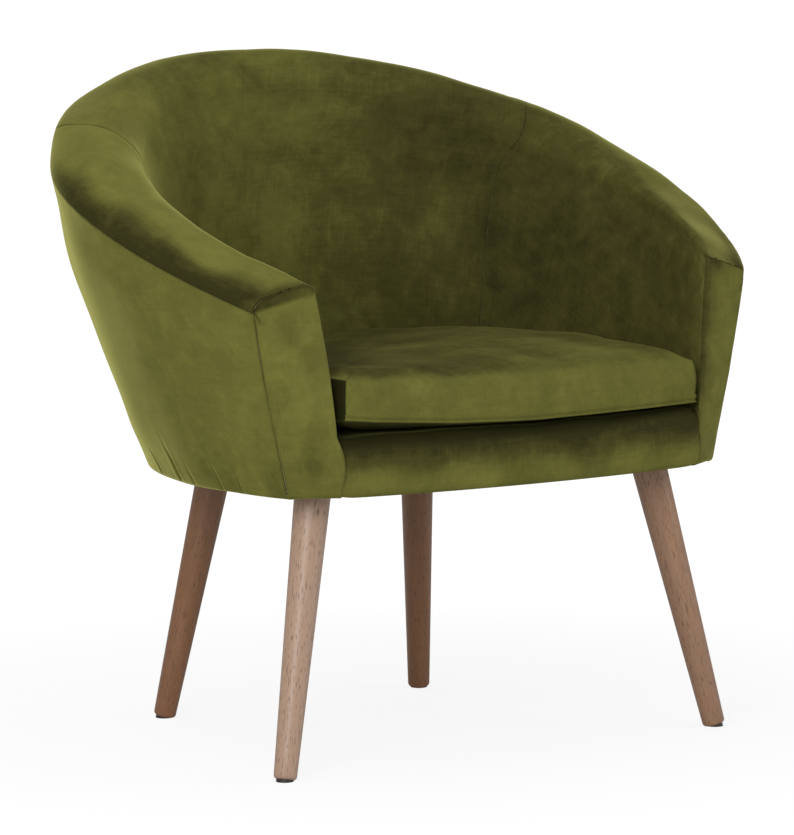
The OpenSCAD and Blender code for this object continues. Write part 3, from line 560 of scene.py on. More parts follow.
def arm_velvet(side):
    grid, turn = over_rim_grid(lambda t: seam_share(t) + SEAM_GAP, lambda t: np.full_like(t, FRONT_SHARE),
                               spread(0.36, 0.005), FULL[side])
    to_end = np.linalg.norm(grid - grid[:, -1:], axis=2)
    grid[..., 0] -= over_rail(side, grid[..., 2]) * np.exp(-to_end / 0.020)
    grid = grid * [side, 1, 1]
    if side > 0:
        grid, turn = grid[:, ::-1], turn[:, ::-1]
    across, down = spans(grid)
    to_back, to_front = from_ends(across, side)
    along = to_back / (to_back + to_front)
    sewn_back = bell(to_back, 0.0012) * (fading(turn) if side < 0 else 0.22)
    edge = np.minimum.reduce([down, to_back, to_front])
    sewn_front = bell(to_front, 0.0014) * (0.8 if side < 0 else 0.3) * (turn < 1.02)
    seam = np.maximum.reduce([0.2 * bell(down, 0.0016), sewn_back, sewn_front])
    height = 0.0008 * ripple(grid, 0.13, 21) * soft(down / 0.04)
    height = height * soft(to_back / 0.03) * soft(to_front / 0.03)
    height += puckers(grid, edge, 0.02, 22)
    height = np.maximum(height, HOLLOW) + stuffed(grid, turn)
    height -= 0.4 * rounded(down, 0.0014) + 0.6 * rounded(to_front, 0.0014)
    height -= (0.5 if side < 0 else 0.3) * rounded(to_back, 0.0013)
    # The roll is stuffed fullest where its outer side reaches the front
    full = bell(down - 0.016, 0.013) * soft((along - 0.72) / 0.25) * (1 - np.exp(-to_front / 0.007))
    height += 0.003 * full
    # The dark band of turned pile: how far down the roll it reaches, and how it ends
    reach = mix(0.022, 0.066, soft(along * 2.2)) * mix(1, 0.72, soft((along - 0.55) / 0.45))
    reach = reach * (1 + 0.13 * ripple(grid, 0.09, 23))
    band = 1 - soft((down - 0.12 * reach) / (0.88 * reach))
    band = band * soft((along - 0.04) * 2.8) * soft(to_front / 0.05 + 0.6)
    # Painted shade along the front lip, above the seam to the facing
    front_lip_shade = 0.45 * bell(to_front, 0.011) * soft((turn - 0.12) / 0.2) * (turn < 1.05)
    # Painted shade down the inside of the roll; on the right it reaches over the inner side too
    if side < 0:
        top, inner = 0.12, 0.0
        inside_shade = 0.48 * soft((turn - 0.80) / 0.35)
    else:
        top = mix(0.32, 0.20, along)
        inside_shade = 0.30 * soft((turn - 0.35) / 0.3)
        inner = 0.20 * soft((turn - 0.8) / 0.4) * mix(1, 0.4, soft((along - 0.75) / 0.25))
        # Near the front the painted shade eases, so the facing's inner edge isn't a hard line
        inner = inner - 0.14 * bell(to_front, 0.030) * soft((turn - 0.9) / 0.2)
    nap = np.clip(top + 0.86 * band + front_lip_shade * (1 - band) + inside_shade + inner, 0, 1)
    return lay("arm_velvet_" + HAND[side], dressed(grid, height), seam, nap)


arms = [arm_velvet(side) for side in HAND]

# %% The inside back velvet


def back_velvet():
    grid, turn = over_rim_grid(lambda t: -seam_share(t) + SEAM_GAP, lambda t: seam_share(t) - SEAM_GAP,
                               spread(0.80, 0.006))
    grid, turn = grid[:, ::-1], turn[:, ::-1]
    x = grid[..., 0]
    across, down = spans(grid)
    to_seam = np.minimum(across, across[:, -1:] - across)
    right = soft(x / 0.05)
    seam = np.maximum(0.2 * bell(down, 0.0016), mix(fading(turn), 0.25, right) * bell(to_seam, 0.0012))
    height = 0.0011 * ripple(grid, 0.17, 31) * soft(down / 0.05) * soft(to_seam / 0.03)
    height += puckers(grid, np.minimum(down, to_seam), 0.02, 32)
    height = np.maximum(height, HOLLOW) + stuffed(grid, turn)
    height -= 0.4 * rounded(down, 0.0014) + mix(0.5, 0.3, right) * rounded(to_seam, 0.0013)
    # The pile and painted shade: lighter on the left and over the rim, darker on the right and inside
    inner = soft((turn - 0.62) / 0.45) * mix(-0.10, 0.10, soft((x + 0.30) / 0.60))
    nap = mix(0.24, 0.42, soft((x + 0.30) / 0.22)) + inner
    nap = nap + 0.20 * soft((x - 0.02) / 0.20) * soft((turn - 0.30) / 0.35)
    nap = nap + 0.04 * soft((turn - 1.35) / 0.5) + 0.04 * ripple(grid, 0.12, 33)
    beside = bell(to_seam - 0.008, 0.012) * soft((turn - 1.0) / 0.1) * right * 0.06
    return lay("inside_back_velvet", dressed(grid, height), seam, np.clip(nap + beside, 0, 1))


inside_back = back_velvet()

# %% [markdown]
# ## The facings
# The front of each arm is closed by a facing: a narrow piece of velvet over a
# thin pad, sewn to the arm velvet along its top and inner edge, and double
# stitched to the outside velvet. Its outline is the wall's own section at the
# arm front, so it is laid as a grid as well, and it swells a little between its
# seams. The lower edge is turned under like the outside velvet's.

# %% Outline of a facing
FACING_W = 0.06


def tree_of(points):
    tree = KDTree(len(points))
    for n, p in enumerate(points):
        tree.insert(p, n)
    tree.balance()
    return tree


def to_line(points, line):
    """Distance from each point of a grid to a dense line of points."""
    tree = tree_of(line)
    return np.array([tree.find(p)[2] for p in points.reshape(-1, 3)]).reshape(points.shape[:-1])


def facing_half(side):
    z = np.linspace(UNDERSIDE + HEM_R, ARM_TOP_Z, 160)
    angle = np.radians(np.concatenate([np.linspace(0, 84, 120)[1:], [87, 89.3]]))
    by_z, by_angle = np.ones_like(z), np.ones_like(angle)
    inner = np.concatenate([inside(by_z, z), rim(by_angle, math.pi - angle, FULL[side])])
    outer = np.concatenate([outside(by_z, z), rim(by_angle, angle, FULL[side])])
    inner[:, 0] -= over_rail(side, inner[:, 2])
    columns = spread(FACING_W, 0.0013)
    path = mix(inner[:, None, :], outer[:, None, :], columns[None, :, None])
    back = unit(outward(np.ones(1), np.zeros(1)))[0][::-1] * [-1, 1]
    inwards = np.broadcast_to(np.array([back[0], back[1], 0]), path[0].shape)
    radius = np.full(len(columns), HEM_R)
    path = under(np.concatenate([path[:1], path]), inwards, radius)
    return evenly(path, spread(0.25, 0.0018, start=False))


print("a facing's rows and columns:", facing_half(-1).shape[:2])

# %% Shape the facings
# The first rows lie turned under the base, where nothing is sewn
UNSEWN_ROWS = 6


def facing_velvet(side):
    grid = facing_half(side) * [side, 1, 1]
    if side < 0:
        grid = grid[:, ::-1]
    x, z = grid[..., 0], grid[..., 2]
    shown = grid[UNSEWN_ROWS:]
    near = to_line(grid, np.concatenate([shown[:, 0], shown[:, -1], grid[-1]]))
    inner = to_line(grid, shown[:, 0] if side > 0 else shown[:, -1])
    outer = to_line(grid, shown[:, -1] if side > 0 else shown[:, 0])
    # The seam to the arm velvet is drawn taut between two corners
    top, far_corner = rim(np.ones(2), np.array([0.05, math.pi - 0.05])) * [side, 1, 1]
    taut = to_line(grid, mix(top, far_corner, np.linspace(0, 1, 120)[:, None]))
    # The slit of a tuck runs down from the outer top corner
    slit = mix(top, top + np.array([-0.008 * side, 0, -0.012]), np.linspace(0, 1, 30)[:, None])
    to_slit = to_line(grid, slit)
    by_rail = soft((0.368 - z) / 0.012)
    height = 0.0016 * (1 - np.exp(-near / 0.010)) - rounded(near, 0.0012)
    height += puckers(grid, near, 0.018, 41)
    height += 1.1 * BULGE[side] * np.exp(-inner / 0.014) * by_rail * soft((z - UNDERSIDE) / 0.02)
    height -= 0.0024 * bell(to_slit, 0.0017)
    height *= soft((z - UNDERSIDE) / 0.004)
    sewn = bell(near, 0.0013) * np.where(outer < 0.004, 0.45, 0.5 * by_rail)
    seam = np.maximum(sewn, bell(to_slit, 0.0014)) * soft((z - UNDERSIDE) / 0.010)
    nap = 0.20 + 0.10 * soft((0.40 - z) / 0.08) + 0.08 * soft(ripple(grid, 0.06, 42))
    if side < 0:
        # Above the taut seam the pile lies like the dark band's
        step = far_corner - top
        line_z = top[2] + (x - top[0]) / step[0] * step[2]
        above = soft((z - line_z + 0.001) / 0.002)
        seam = np.maximum.reduce([seam, 0.6 * bell(taut, 0.0012), 0.9 * bell(near, 0.0016) * above])
        nap = nap + mix(0.62, 0.30, soft((x - top[0]) / step[0])) * soft((z - line_z) / 0.002)
    else:
        # Painted shade: the facing darkens towards its inner edge, where it turns into the shell
        nap = nap + 0.06 * bell(near, 0.010) + 0.55 * np.exp(-inner / 0.014) * soft((z - 0.33) / 0.1)
    return lay("facing_velvet_" + HAND[side], settled(dressed(grid, height)), seam, nap)


facings = [facing_velvet(side) for side in HAND]

# %% [markdown]
# ## The front rail
# A strip of velvet over 9 mm of foam, bowed forward in the middle. It is the
# rail's section moved along a long arc. Its ends run in under the facings.

# %% Shape the rail velvet
ARM_X = float(middle(np.ones(1), np.zeros(1))[0, 0])
RAIL_HALF = ARM_X - BASE_T / 2 * math.cos(BASE_TURN) - 0.0003
RAIL_R = (RAIL_HALF ** 2 + FRONT_BOW ** 2) / (2 * FRONT_BOW)
CREST_Z = DECK_Z + 0.002
EDGE_R = 0.013


def rail_grid():
    """The rail's section, as depth and height from its foot to its tail, along the arc."""
    x = mix(-RAIL_HALF - 0.0025, RAIL_HALF + 0.0025, spread(2 * RAIL_HALF, 0.005))
    top_z = CREST_Z - EDGE_R
    z = np.linspace(UNDERSIDE + HEM_R, top_z, 60)
    face = np.stack([-0.003 * np.sin(math.pi * (z - UNDERSIDE) / (top_z - UNDERSIDE)), z], -1)
    t = np.radians(np.linspace(4, 90, 24))
    edge = np.stack([EDGE_R * (1 - np.cos(t)), top_z + EDGE_R * np.sin(t)], -1)
    tail = np.array([[0.030, CREST_Z], [0.0476, CREST_Z]])
    hem = np.stack([HEM_R * (1 - np.cos(HEM_TURNS)), UNDERSIDE + HEM_R * (1 - np.sin(HEM_TURNS))], -1)
    section = np.concatenate([[[HEM_R + LIP, UNDERSIDE]], hem, face, edge, tail])
    angle = np.arcsin(x / RAIL_R)
    reach = RAIL_R - section[:, None, 0]
    path = np.stack([reach * np.sin(angle), FRONT_Y + RAIL_R - reach * np.cos(angle),
                     section[:, None, 1] + 0 * angle], -1)
    # Behind its crest the cover widens with the room between the arms
    ring = inside(np.linspace(0.8, 1, 200), np.full(200, CREST_Z))[::-1]
    wide = np.interp(path[:, -1, 1], ring[:, 1], ring[:, 0]) / RAIL_HALF
    path[..., 0] *= mix(1, np.maximum(wide, 1), soft((section[:, 0] - 0.006) / 0.008))[:, None]
    return evenly(path, spread(0.15, 0.004, start=False, end=False))


def rail_velvet():
    grid = rail_grid()
    x, z = grid[..., 0], grid[..., 2]
    across, down = spans(grid)
    to_end = np.minimum(across, across[:, -1:] - across)
    fall = soft((z - UNDERSIDE) / 0.006)
    plump = np.sin(np.clip(down / down[-1:], 0, 1) * math.pi) ** 1.4
    height = 0.0028 * (1 - np.exp(-to_end / 0.016)) * plump
    height += 0.0007 * ripple(grid, 0.11, 51) * soft(to_end / 0.03) * fall
    height += 0.00035 * ripple(grid, 0.018, 52) * np.exp(-to_end / 0.012) * fall
    height -= mix(0.0022, 0.0010, x > 0) * bell(to_end, 0.012)
    # Painted shadow under the cushion's lip: the rail darkens towards the top, and the pile along the crest
    # is nearly black
    crest = mix(0.350, 0.356, soft((x - 0.02) / 0.2))
    nap = 0.24 + 0.85 * soft((z - 0.316) / 0.044) + 0.05 * ripple(grid, 0.08, 53)
    seam = np.maximum(0.6 * bell(to_end, 0.0018), 1.25 * soft((z - crest) / 0.009))
    return lay("rail_velvet", settled(dressed(grid, height)), seam, np.clip(nap, 0, 1))


rail = rail_velvet()

# %% [markdown]
# ## The seat deck
# Under the loose cushion a flat cover of velvet is stretched over thin foam and
# elastic webbing. It only shows when the cushion is lifted. Rows run from the
# rail to the back, and each is as wide as the shell leaves it.

# %% Lay the deck


def deck_velvet():
    """Rows from the rail's crest, whose bow they share at first, to the back."""
    s = np.linspace(0, 1, 400)
    ring = inside(s, np.full_like(s, DECK_Z - 0.002), -0.0009)
    behind = RAIL_R - 0.0478
    y_front = FRONT_Y + RAIL_R - behind
    order = np.argsort(ring[:, 1])
    y_back = ring[:, 1].max() - 0.0005
    share = 1 - (1 - np.linspace(0, 1, 70)) ** 1.7
    rows = []
    for y in mix(y_front, y_back, share):
        blend, end = soft(1 - (y - y_front) / 0.2), y
        for _ in range(4):
            half = np.interp(end, ring[order, 1], ring[order, 0])
            end = y + (behind - math.sqrt(behind ** 2 - half ** 2)) * blend
        x = half * np.sin(np.linspace(-1, 1, 90) * math.pi / 2)
        bow = behind - np.sqrt(np.maximum(behind ** 2 - x ** 2, 0))
        rows.append(np.stack([x, y + bow * blend, np.full_like(x, DECK_Z)], -1))
    grid = np.array(rows)
    edge = to_line(grid, np.concatenate([ring, ring * [-1, 1, 1]]))
    height = -0.0016 * bell(edge, 0.012) - 0.0004 * (1 + ripple(grid, 0.09, 61)) * soft(edge / 0.02)
    return lay("deck_velvet", dressed(grid, height), bell(edge, 0.003), np.full(grid.shape[:2], 0.4))


deck = deck_velvet()

# %% [markdown]
# ## The dust cloth
# The underside is closed with thin black cloth, stapled over the turned-under
# edges of the velvet, with a hole for each leg. The flat outline is filled with
# a grid fine enough to sag between the staples, then given its thickness.

# %% Outline of the dust cloth
LEG_TOPS = [(0.227, -0.2155), (0.138, 0.0995)]
FEET = [(0.294, -0.2575), (0.179, 0.1515)]
CLOTH_IN = 0.0095
CLOTH_Z = UNDERSIDE - 0.0006


def underside_outline(depth, count=120):
    s = np.linspace(-1 + depth / WALL_L, 1 - depth / WALL_L, count)
    wall_part = outside(s, np.full_like(s, UNDERSIDE), depth)[:, :2]
    x = np.linspace(RAIL_HALF, -RAIL_HALF, 40)
    rail_part = np.stack([x, FRONT_Y + depth + RAIL_R - np.sqrt(RAIL_R ** 2 - x ** 2)], -1)
    inner = inside(np.array([1 - depth / WALL_L]), np.array([UNDERSIDE]), 0)[0, :2]
    return np.concatenate([wall_part, [inner], rail_part, [inner * [-1, 1]]])


def dust_cloth():
    outline = underside_outline(CLOTH_IN)
    low, high = outline.min(0), outline.max(0)
    deselect()
    bpy.ops.mesh.primitive_grid_add(x_subdivisions=100, y_subdivisions=80, size=2)
    cloth = bpy.context.object
    cloth.name = cloth.data.name = "dust_cloth"
    flat = read_points(cloth)[:, :2]
    # Each point of the square keeps its angle and its share of the way to the rim
    centre = np.array([0.0, (low[1] + high[1]) / 2])
    square = np.max(np.abs(flat), axis=1)
    angle = np.arctan2(flat[:, 1], flat[:, 0])
    rel = outline - centre
    around = np.arctan2(rel[:, 1], rel[:, 0])
    order = np.argsort(around)
    far = np.interp(angle, around[order], np.linalg.norm(rel, axis=1)[order], period=2 * math.pi)
    place = centre + np.stack([np.cos(angle), np.sin(angle)], -1) * (far * square)[:, None]
    uneven = ripple(np.pad(place, ((0, 0), (0, 1))), 0.1, 71)
    sag = -0.0012 * soft((1 - square) * 12) - 0.0006 * uneven * soft((1 - square) * 9)
    points = np.column_stack([place, CLOTH_Z + np.minimum(sag, 0)])
    cloth.data.vertices.foreach_set("co", points.ravel())
    cloth.data.update()
    print("dust cloth", [round(float(v), 3) for v in high - low], "m")
    return cloth


dust = dust_cloth()

# %% Cut the leg holes and hem the cloth
# Each hole's radius, how near it a face is cut away, and how near a point is drawn in
HOLE_R, HOLE_CUT, HOLE_REACH = 0.0222, 0.0235, 0.034


def cut_leg_holes(cloth):
    """Faces over a leg go, and the edge left behind is drawn into a neat circle."""
    bm = bmesh.new()
    bm.from_mesh(cloth.data)
    holes = [(sx * x, y) for x, y in LEG_TOPS for sx in (-1, 1)]
    doomed = []
    for face in bm.faces:
        c = face.calc_center_median()
        if any(math.hypot(c.x - x, c.y - y) < HOLE_CUT for x, y in holes):
            doomed.append(face)
    bmesh.ops.delete(bm, geom=doomed, context="FACES")
    for v in bm.verts:
        for x, y in holes:
            d = math.hypot(v.co.x - x, v.co.y - y)
            if d < HOLE_REACH and v.is_boundary:
                v.co.x = x + (v.co.x - x) * HOLE_R / d
                v.co.y = y + (v.co.y - y) * HOLE_R / d
    if sum(f.normal.z for f in bm.faces) > 0:
        bmesh.ops.reverse_faces(bm, faces=bm.faces)
    bm.to_mesh(cloth.data)
    bm.free()


cut_leg_holes(dust)
finish_with(dust, "SOLIDIFY", thickness=0.0007, offset=-1)
smooth(dust)
print("dust cloth", len(dust.data.polygons), "faces")

# %% [markdown]
# ## Staples
# Each staple is a crown of flat wire with two short bends into the timber. One
# is modelled from a cube that is drawn out and bevelled, and the others are
# copies of its mesh, set along the edge of the dust cloth.

# %% Model one staple
STAPLE_W, STAPLE_WIRE = 0.0105, 0.0011
deselect()
bpy.ops.mesh.primitive_cube_add(size=1)
staple = bpy.context.object
staple.name = "staples"
bpy.ops.object.mode_set(mode="EDIT")
bpy.ops.transform.resize(value=(STAPLE_W, STAPLE_WIRE, STAPLE_WIRE * 0.6))
bpy.ops.mesh.bevel(offset=0.00025, segments=2)
bpy.ops.mesh.subdivide(number_cuts=1)
bpy.ops.object.mode_set(mode="OBJECT")
wire = read_points(staple)
wire[:, 2] += 0.9 * np.maximum(np.abs(wire[:, 0]) - 0.4 * STAPLE_W, 0)
print("one staple", len(wire), "points")

# %% Set the staples round the underside


def copies(name, source, points, places):
    """One object made of turned and moved copies of a mesh's points."""
    faces = [list(p.vertices) for p in source.data.polygons]
    every, all_faces = [], []
    for n, (spot, axes) in enumerate(places):
        every.append(points @ axes + spot)
        all_faces += [[i + n * len(points) for i in f] for f in faces]
    mesh = bpy.data.meshes.new(name)
    mesh.from_pydata(np.concatenate(every).tolist(), [], all_faces)
    return put(name, mesh)


def spot_on(line, run, at):
    return np.array([np.interp(at, run, line[:, k]) for k in range(line.shape[1])])


STAPLE_STEP, STAPLE_DEEP = 0.034, 0.0006
ring = underside_outline(CLOTH_IN + 0.009, 400)
ring = np.concatenate([ring, ring[:1]])
run = run_of(ring)
rng = np.random.default_rng(5)
places = []
for at in np.arange(0.02, run[-1], STAPLE_STEP):
    at += rng.uniform(-0.004, 0.004)
    here, ahead = spot_on(ring, run, at), spot_on(ring, run, at + 0.002)
    way = math.atan2(ahead[1] - here[1], ahead[0] - here[0]) + rng.uniform(-0.12, 0.12)
    c, s = math.cos(way), math.sin(way)
    places.append((np.append(here, CLOTH_Z - STAPLE_DEEP), np.array([[c, s, 0], [-s, c, 0], [0, 0, 1]])))
staples = copies("dust_cloth_staples", staple, wire, places)
bpy.data.objects.remove(staple)
print(len(places), "staples")

# %% [markdown]
# ## Stitches on the facing's outer seam
# Two rows of thread hold the seam's allowances flat, one on each side of it.
# One stitch is a short rounded bar, modelled from a cylinder that is tapered at
# its ends, and copied along both rows.

# %% Model one stitch and sew both rows
STITCH, STITCH_R = 0.0028, 0.00022
deselect()
bpy.ops.mesh.primitive_cylinder_add(vertices=6, radius=STITCH_R, depth=STITCH, end_fill_type="NGON")
stitch = bpy.context.object
bpy.ops.object.mode_set(mode="EDIT")
bpy.ops.mesh.select_mode(type="EDGE")
bpy.ops.mesh.select_all(action="DESELECT")
cage = bmesh.from_edit_mesh(stitch.data)
for edge in cage.edges:
    edge.select = abs(edge.verts[0].co.z - edge.verts[1].co.z) < 1e-6
bpy.ops.mesh.bevel(offset=STITCH_R * 0.8, segments=2)
bpy.ops.object.mode_set(mode="OBJECT")
bar = read_points(stitch)
# How far each row lies from the seam, and one stitch from the next
ROW_OFF, STITCH_STEP = 0.0034, STITCH * 1.35


def sew(side):
    z = np.linspace(UNDERSIDE + 0.012, ARM_TOP_Z - 0.016, 300)
    front = np.ones_like(z)
    on_facing = mix(outside(front, z), inside(front, z), ROW_OFF / FACING_W)
    on_outside = outside(np.full_like(z, 1 - ROW_OFF / WALL_L), z, 0.0001)
    places = []
    for line, lift in ((on_facing, [0, -0.0001, 0]), (on_outside, [side * 0.0002, 0, 0])):
        line = line * [side, 1, 1]
        run = run_of(line)
        for at in np.arange(0.001, run[-1] - 0.004, STITCH_STEP):
            a, b = spot_on(line, run, at), spot_on(line, run, at + STITCH)
            z_axis = unit(b - a)
            x_axis = unit(np.cross(z_axis, [float(side), 0.0, 0.0]))
            places.append(((a + b) / 2 + lift, np.array([x_axis, np.cross(z_axis, x_axis), z_axis])))
    print(HAND[side], len(places), "stitches along", round(float(run[-1]), 3), "m")
    return copies("facing_stitches_" + HAND[side], stitch, bar, places)


stitches = [sew(side) for side in HAND]
bpy.data.objects.remove(stitch)

# %% [markdown]
# ## The seat cushion
# A foam block in a velvet case: the top cover falls over the front to the lower
# seam, a band runs round the sides and back, and the bottom is flat on the deck.
# A closed grid of rings gives the sewn shape. A coarse copy of it is pumped up by
# the cloth solver, as the foam fills the case, and its movement is carried back
# to the fine rings, which keep their seams. Remeshing the fine shape itself would
# lose those seams.

# %% Outline of the cushion
CUSHION_Z = DECK_Z + 0.0003
UNDER_H, BAND_H = 0.015, 0.046
LOW_Z = CUSHION_Z + UNDER_H
HIGH_Z = LOW_Z + BAND_H
CUSHION_FRONT = FRONT_Y - 0.003
SIDE_SHARE, CORNER_X = 0.965, 0.239


def cushion_side(s):
    gap = 0.007 + 0.005 * late(s, 0.6)
    return inside(s, np.full_like(s, LOW_Z), -gap - 0.004)[:, :2]


def cushion_outline():
    """Points round the cushion from its left corner by the back, and their run."""
    side = cushion_side(np.linspace(-SIDE_SHARE, SIDE_SHARE, 500))
    x = CORNER_X * np.linspace(1, -1, 300)
    y = CUSHION_FRONT + FRONT_BOW * (x / RAIL_HALF) ** 2 + 0.0015 * (x / CORNER_X) ** 8
    front = np.stack([x, y], -1)
    loop = np.concatenate([front[-1:], side, front])
    run = run_of(loop)
    length_side, whole = run[len(side) + 1], run[-1]
    dense = np.linspace(0, whole, 3001)
    fair = []
    for k in (0, 1):
        line = np.interp(dense[:-1], run, loop[:, k])
        line = np.convolve(np.concatenate([line[-8:], line, line[:8]]), np.ones(17) / 17, mode="valid")
        fair.append(np.append(line, line[0]))
    shares = np.concatenate([
        spread(length_side, 0.0055) * length_side,
        length_side + spread(whole - length_side, 0.0045)[1:-1] * (whole - length_side)])
    points = np.stack([np.interp(shares, dense, fair[k]) for k in (0, 1)], -1)
    return points, shares, length_side, whole


outline, outline_at, side_run, whole_run = cushion_outline()
print("cushion outline", len(outline), "columns,", round(whole_run, 3), "m round")

# %% Rings of the cushion
TOP_CROWN, PUFF = 0.016, 0.004
centre = np.array([0.0, (outline[:, 1].min() + outline[:, 1].max()) / 2])
top_shares = 1 - (1 - np.linspace(0.03, 1, 42)) ** 1.5
low_shares = 1 - (1 - np.linspace(0.03, 1, 30)) ** 1.5
near_seam = [0.0012, 0.0022, 0.0036, 0.006]
side_z = np.concatenate([[HIGH_Z - d for d in near_seam], np.linspace(HIGH_Z - 0.010, LOW_Z + 0.010, 7),
                         [LOW_Z + d for d in near_seam[::-1]]])
# How far the front edge rises or sags, from its left corner to its right one
SAG_AT = (-1, -0.85, -0.45, 0, 0.5, 1)
SAG_BY = (0.008, 0.0045, -0.0020, -0.0055, -0.0045, -0.004)
# The crown is fullest at the right: how much lower it is, from the camera's left to right
FLAT_AT = (-0.15, -0.08, 0.0, 0.127, 0.25)
FLAT_BY = (0.025, 0.0225, 0.0125, 0.0025, 0.003)
sag = np.interp(outline[:, 0] / CORNER_X, SAG_AT, SAG_BY) * soft((-0.10 - outline[:, 1]) / 0.15)


def cushion_rings():
    """Rings from the middle of the top, out and down the band, to the middle of the bottom."""
    out = outline - centre
    rows = []
    for share in top_shares:
        z = HIGH_Z + TOP_CROWN * max(0.0, 1 - share ** 2) ** 0.7
        spot = centre + out * share
        flat = np.interp(spot @ [math.cos(TURN), math.sin(TURN)], FLAT_AT, FLAT_BY) * (1 - share ** 4)
        rows.append(np.column_stack([spot, z + sag * share ** 2 - flat]))
    for z in side_z:
        rise = (HIGH_Z - z) / (HIGH_Z - LOW_Z)
        puff = PUFF * 4 * rise * (1 - rise)
        fuller = (1 + puff / np.linalg.norm(out, axis=1))[:, None]
        rows.append(np.column_stack([centre + out * fuller, z + sag]))
    for share in low_shares[::-1]:
        lift = max(0.0, (share - 0.6) / 0.4) ** 2
        rows.append(np.column_stack([centre + out * share, CUSHION_Z + (UNDER_H + sag) * lift]))
    return np.array(rows)


rings = cushion_rings()
EDGE_ROW, LOW_ROW = len(top_shares) - 1, len(top_shares) + len(side_z)
print("cushion", rings.shape[0], "rings")

# %% Round the front, where the top cover falls over it
into_front = np.minimum(outline_at - side_run, whole_run - outline_at)
fall_weight = soft(into_front / 0.02)
near_edge = bell(np.arange(len(rings)) - EDGE_ROW, 6.0)
near_edge[LOW_ROW - 3:] = 0
rounding = (near_edge[:, None] * fall_weight[None, :])[..., None]
fixed = rings.copy()
for _ in range(60):
    blurred = rings.copy()
    blurred[1:-1] = 0.5 * rings[1:-1] + 0.25 * (rings[2:] + rings[:-2])
    rings = mix(rings, blurred, rounding)
print("front edge lowered by", round(float(np.abs(rings - fixed).max()) * 1000, 1), "mm at most")

# %% Close the rings into a mesh


def with_poles(rings):
    """All points of the rings, and one more in the middle of the first and the last."""
    return np.concatenate([rings.reshape(-1, 3), [rings[0].mean(0)], [rings[-1].mean(0)]])


def ring_mesh(name, rings):
    rows, cols = rings.shape[:2]
    k = np.arange(rows - 1)[:, None] * cols
    i = np.arange(cols)[None, :]
    j = (i + 1) % cols
    quads = np.stack([k + i, k + cols + i, k + cols + j, k + j], -1).reshape(-1, 4)
    first, last = rows * cols, rows * cols + 1
    base = (rows - 1) * cols
    faces = quads.tolist() + [[first, a, b] for a, b in zip(i[0], j[0])]
    faces += [[last, base + b, base + a] for a, b in zip(i[0], j[0])]
    mesh = bpy.data.meshes.new(name)
    mesh.from_pydata(with_poles(rings).tolist(), [], faces)
    return put(name, mesh)


cushion = ring_mesh("seat_cushion", rings)
alone(cushion)
bpy.ops.object.mode_set(mode="EDIT")
bpy.ops.mesh.select_all(action="SELECT")
bpy.ops.mesh.normals_make_consistent(inside=False)
bpy.ops.object.mode_set(mode="OBJECT")
print("seat cushion", len(cushion.data.polygons), "faces")

# %% Pump up a coarse copy
PUMP_CAP, PUMP_FRAMES = 0.008, 20


def pumped(source):
    """Where a coarse copy's points start, and how far the pressure moves them."""
    copy = put("cushion_case", source.data.copy())
    finish_with(copy, "REMESH", mode="VOXEL", voxel_size=0.006)
    before = read_points(copy)
    cloth = copy.modifiers.new("case", "CLOTH")
    cloth.settings.use_pressure = True
    cloth.settings.uniform_pressure_force = 4
    cloth.settings.quality = 5
    cloth.settings.effector_weights.gravity = 0
    scene = bpy.context.scene
    for frame_number in range(1, PUMP_FRAMES + 1):
        scene.frame_set(frame_number)
    alone(copy)
    bpy.ops.object.modifier_apply(modifier=cloth.name)
    after = read_points(copy)
    bpy.data.objects.remove(copy)
    scene.frame_set(1)
    return before, after - before


def carried(points, start, shift):
    """The movement of the nearest coarse points, brought to other points."""
    tree = tree_of(start)
    move = np.empty((len(points), 3))
    for n, p in enumerate(points):
        found = tree.find_n(p, 6)
        weight = np.array([1 / (f[2] + 0.002) for f in found])
        move[n] = (weight[:, None] * shift[[f[1] for f in found]]).sum(0) / weight.sum()
    return move


start, shift = pumped(cushion)
length = np.linalg.norm(shift, axis=1, keepdims=True)
shift = shift * np.minimum(1, PUMP_CAP / np.maximum(length, 1e-9))
move = carried(rings.reshape(-1, 3), start, shift).reshape(rings.shape)
print("pumped by", np.round(np.abs(move).max((0, 1)) * 1000, 1), "mm at most")

# %% Sew the seams and corners into the cushion


def band_shade():
    """Painted shade on the side bands: darkest beside the front corners and paler towards the back."""
    to_corner = np.minimum(outline_at, side_run - outline_at)[None]
    return 0.22 + 0.78 * soft((0.12 - to_corner) / 0.09)


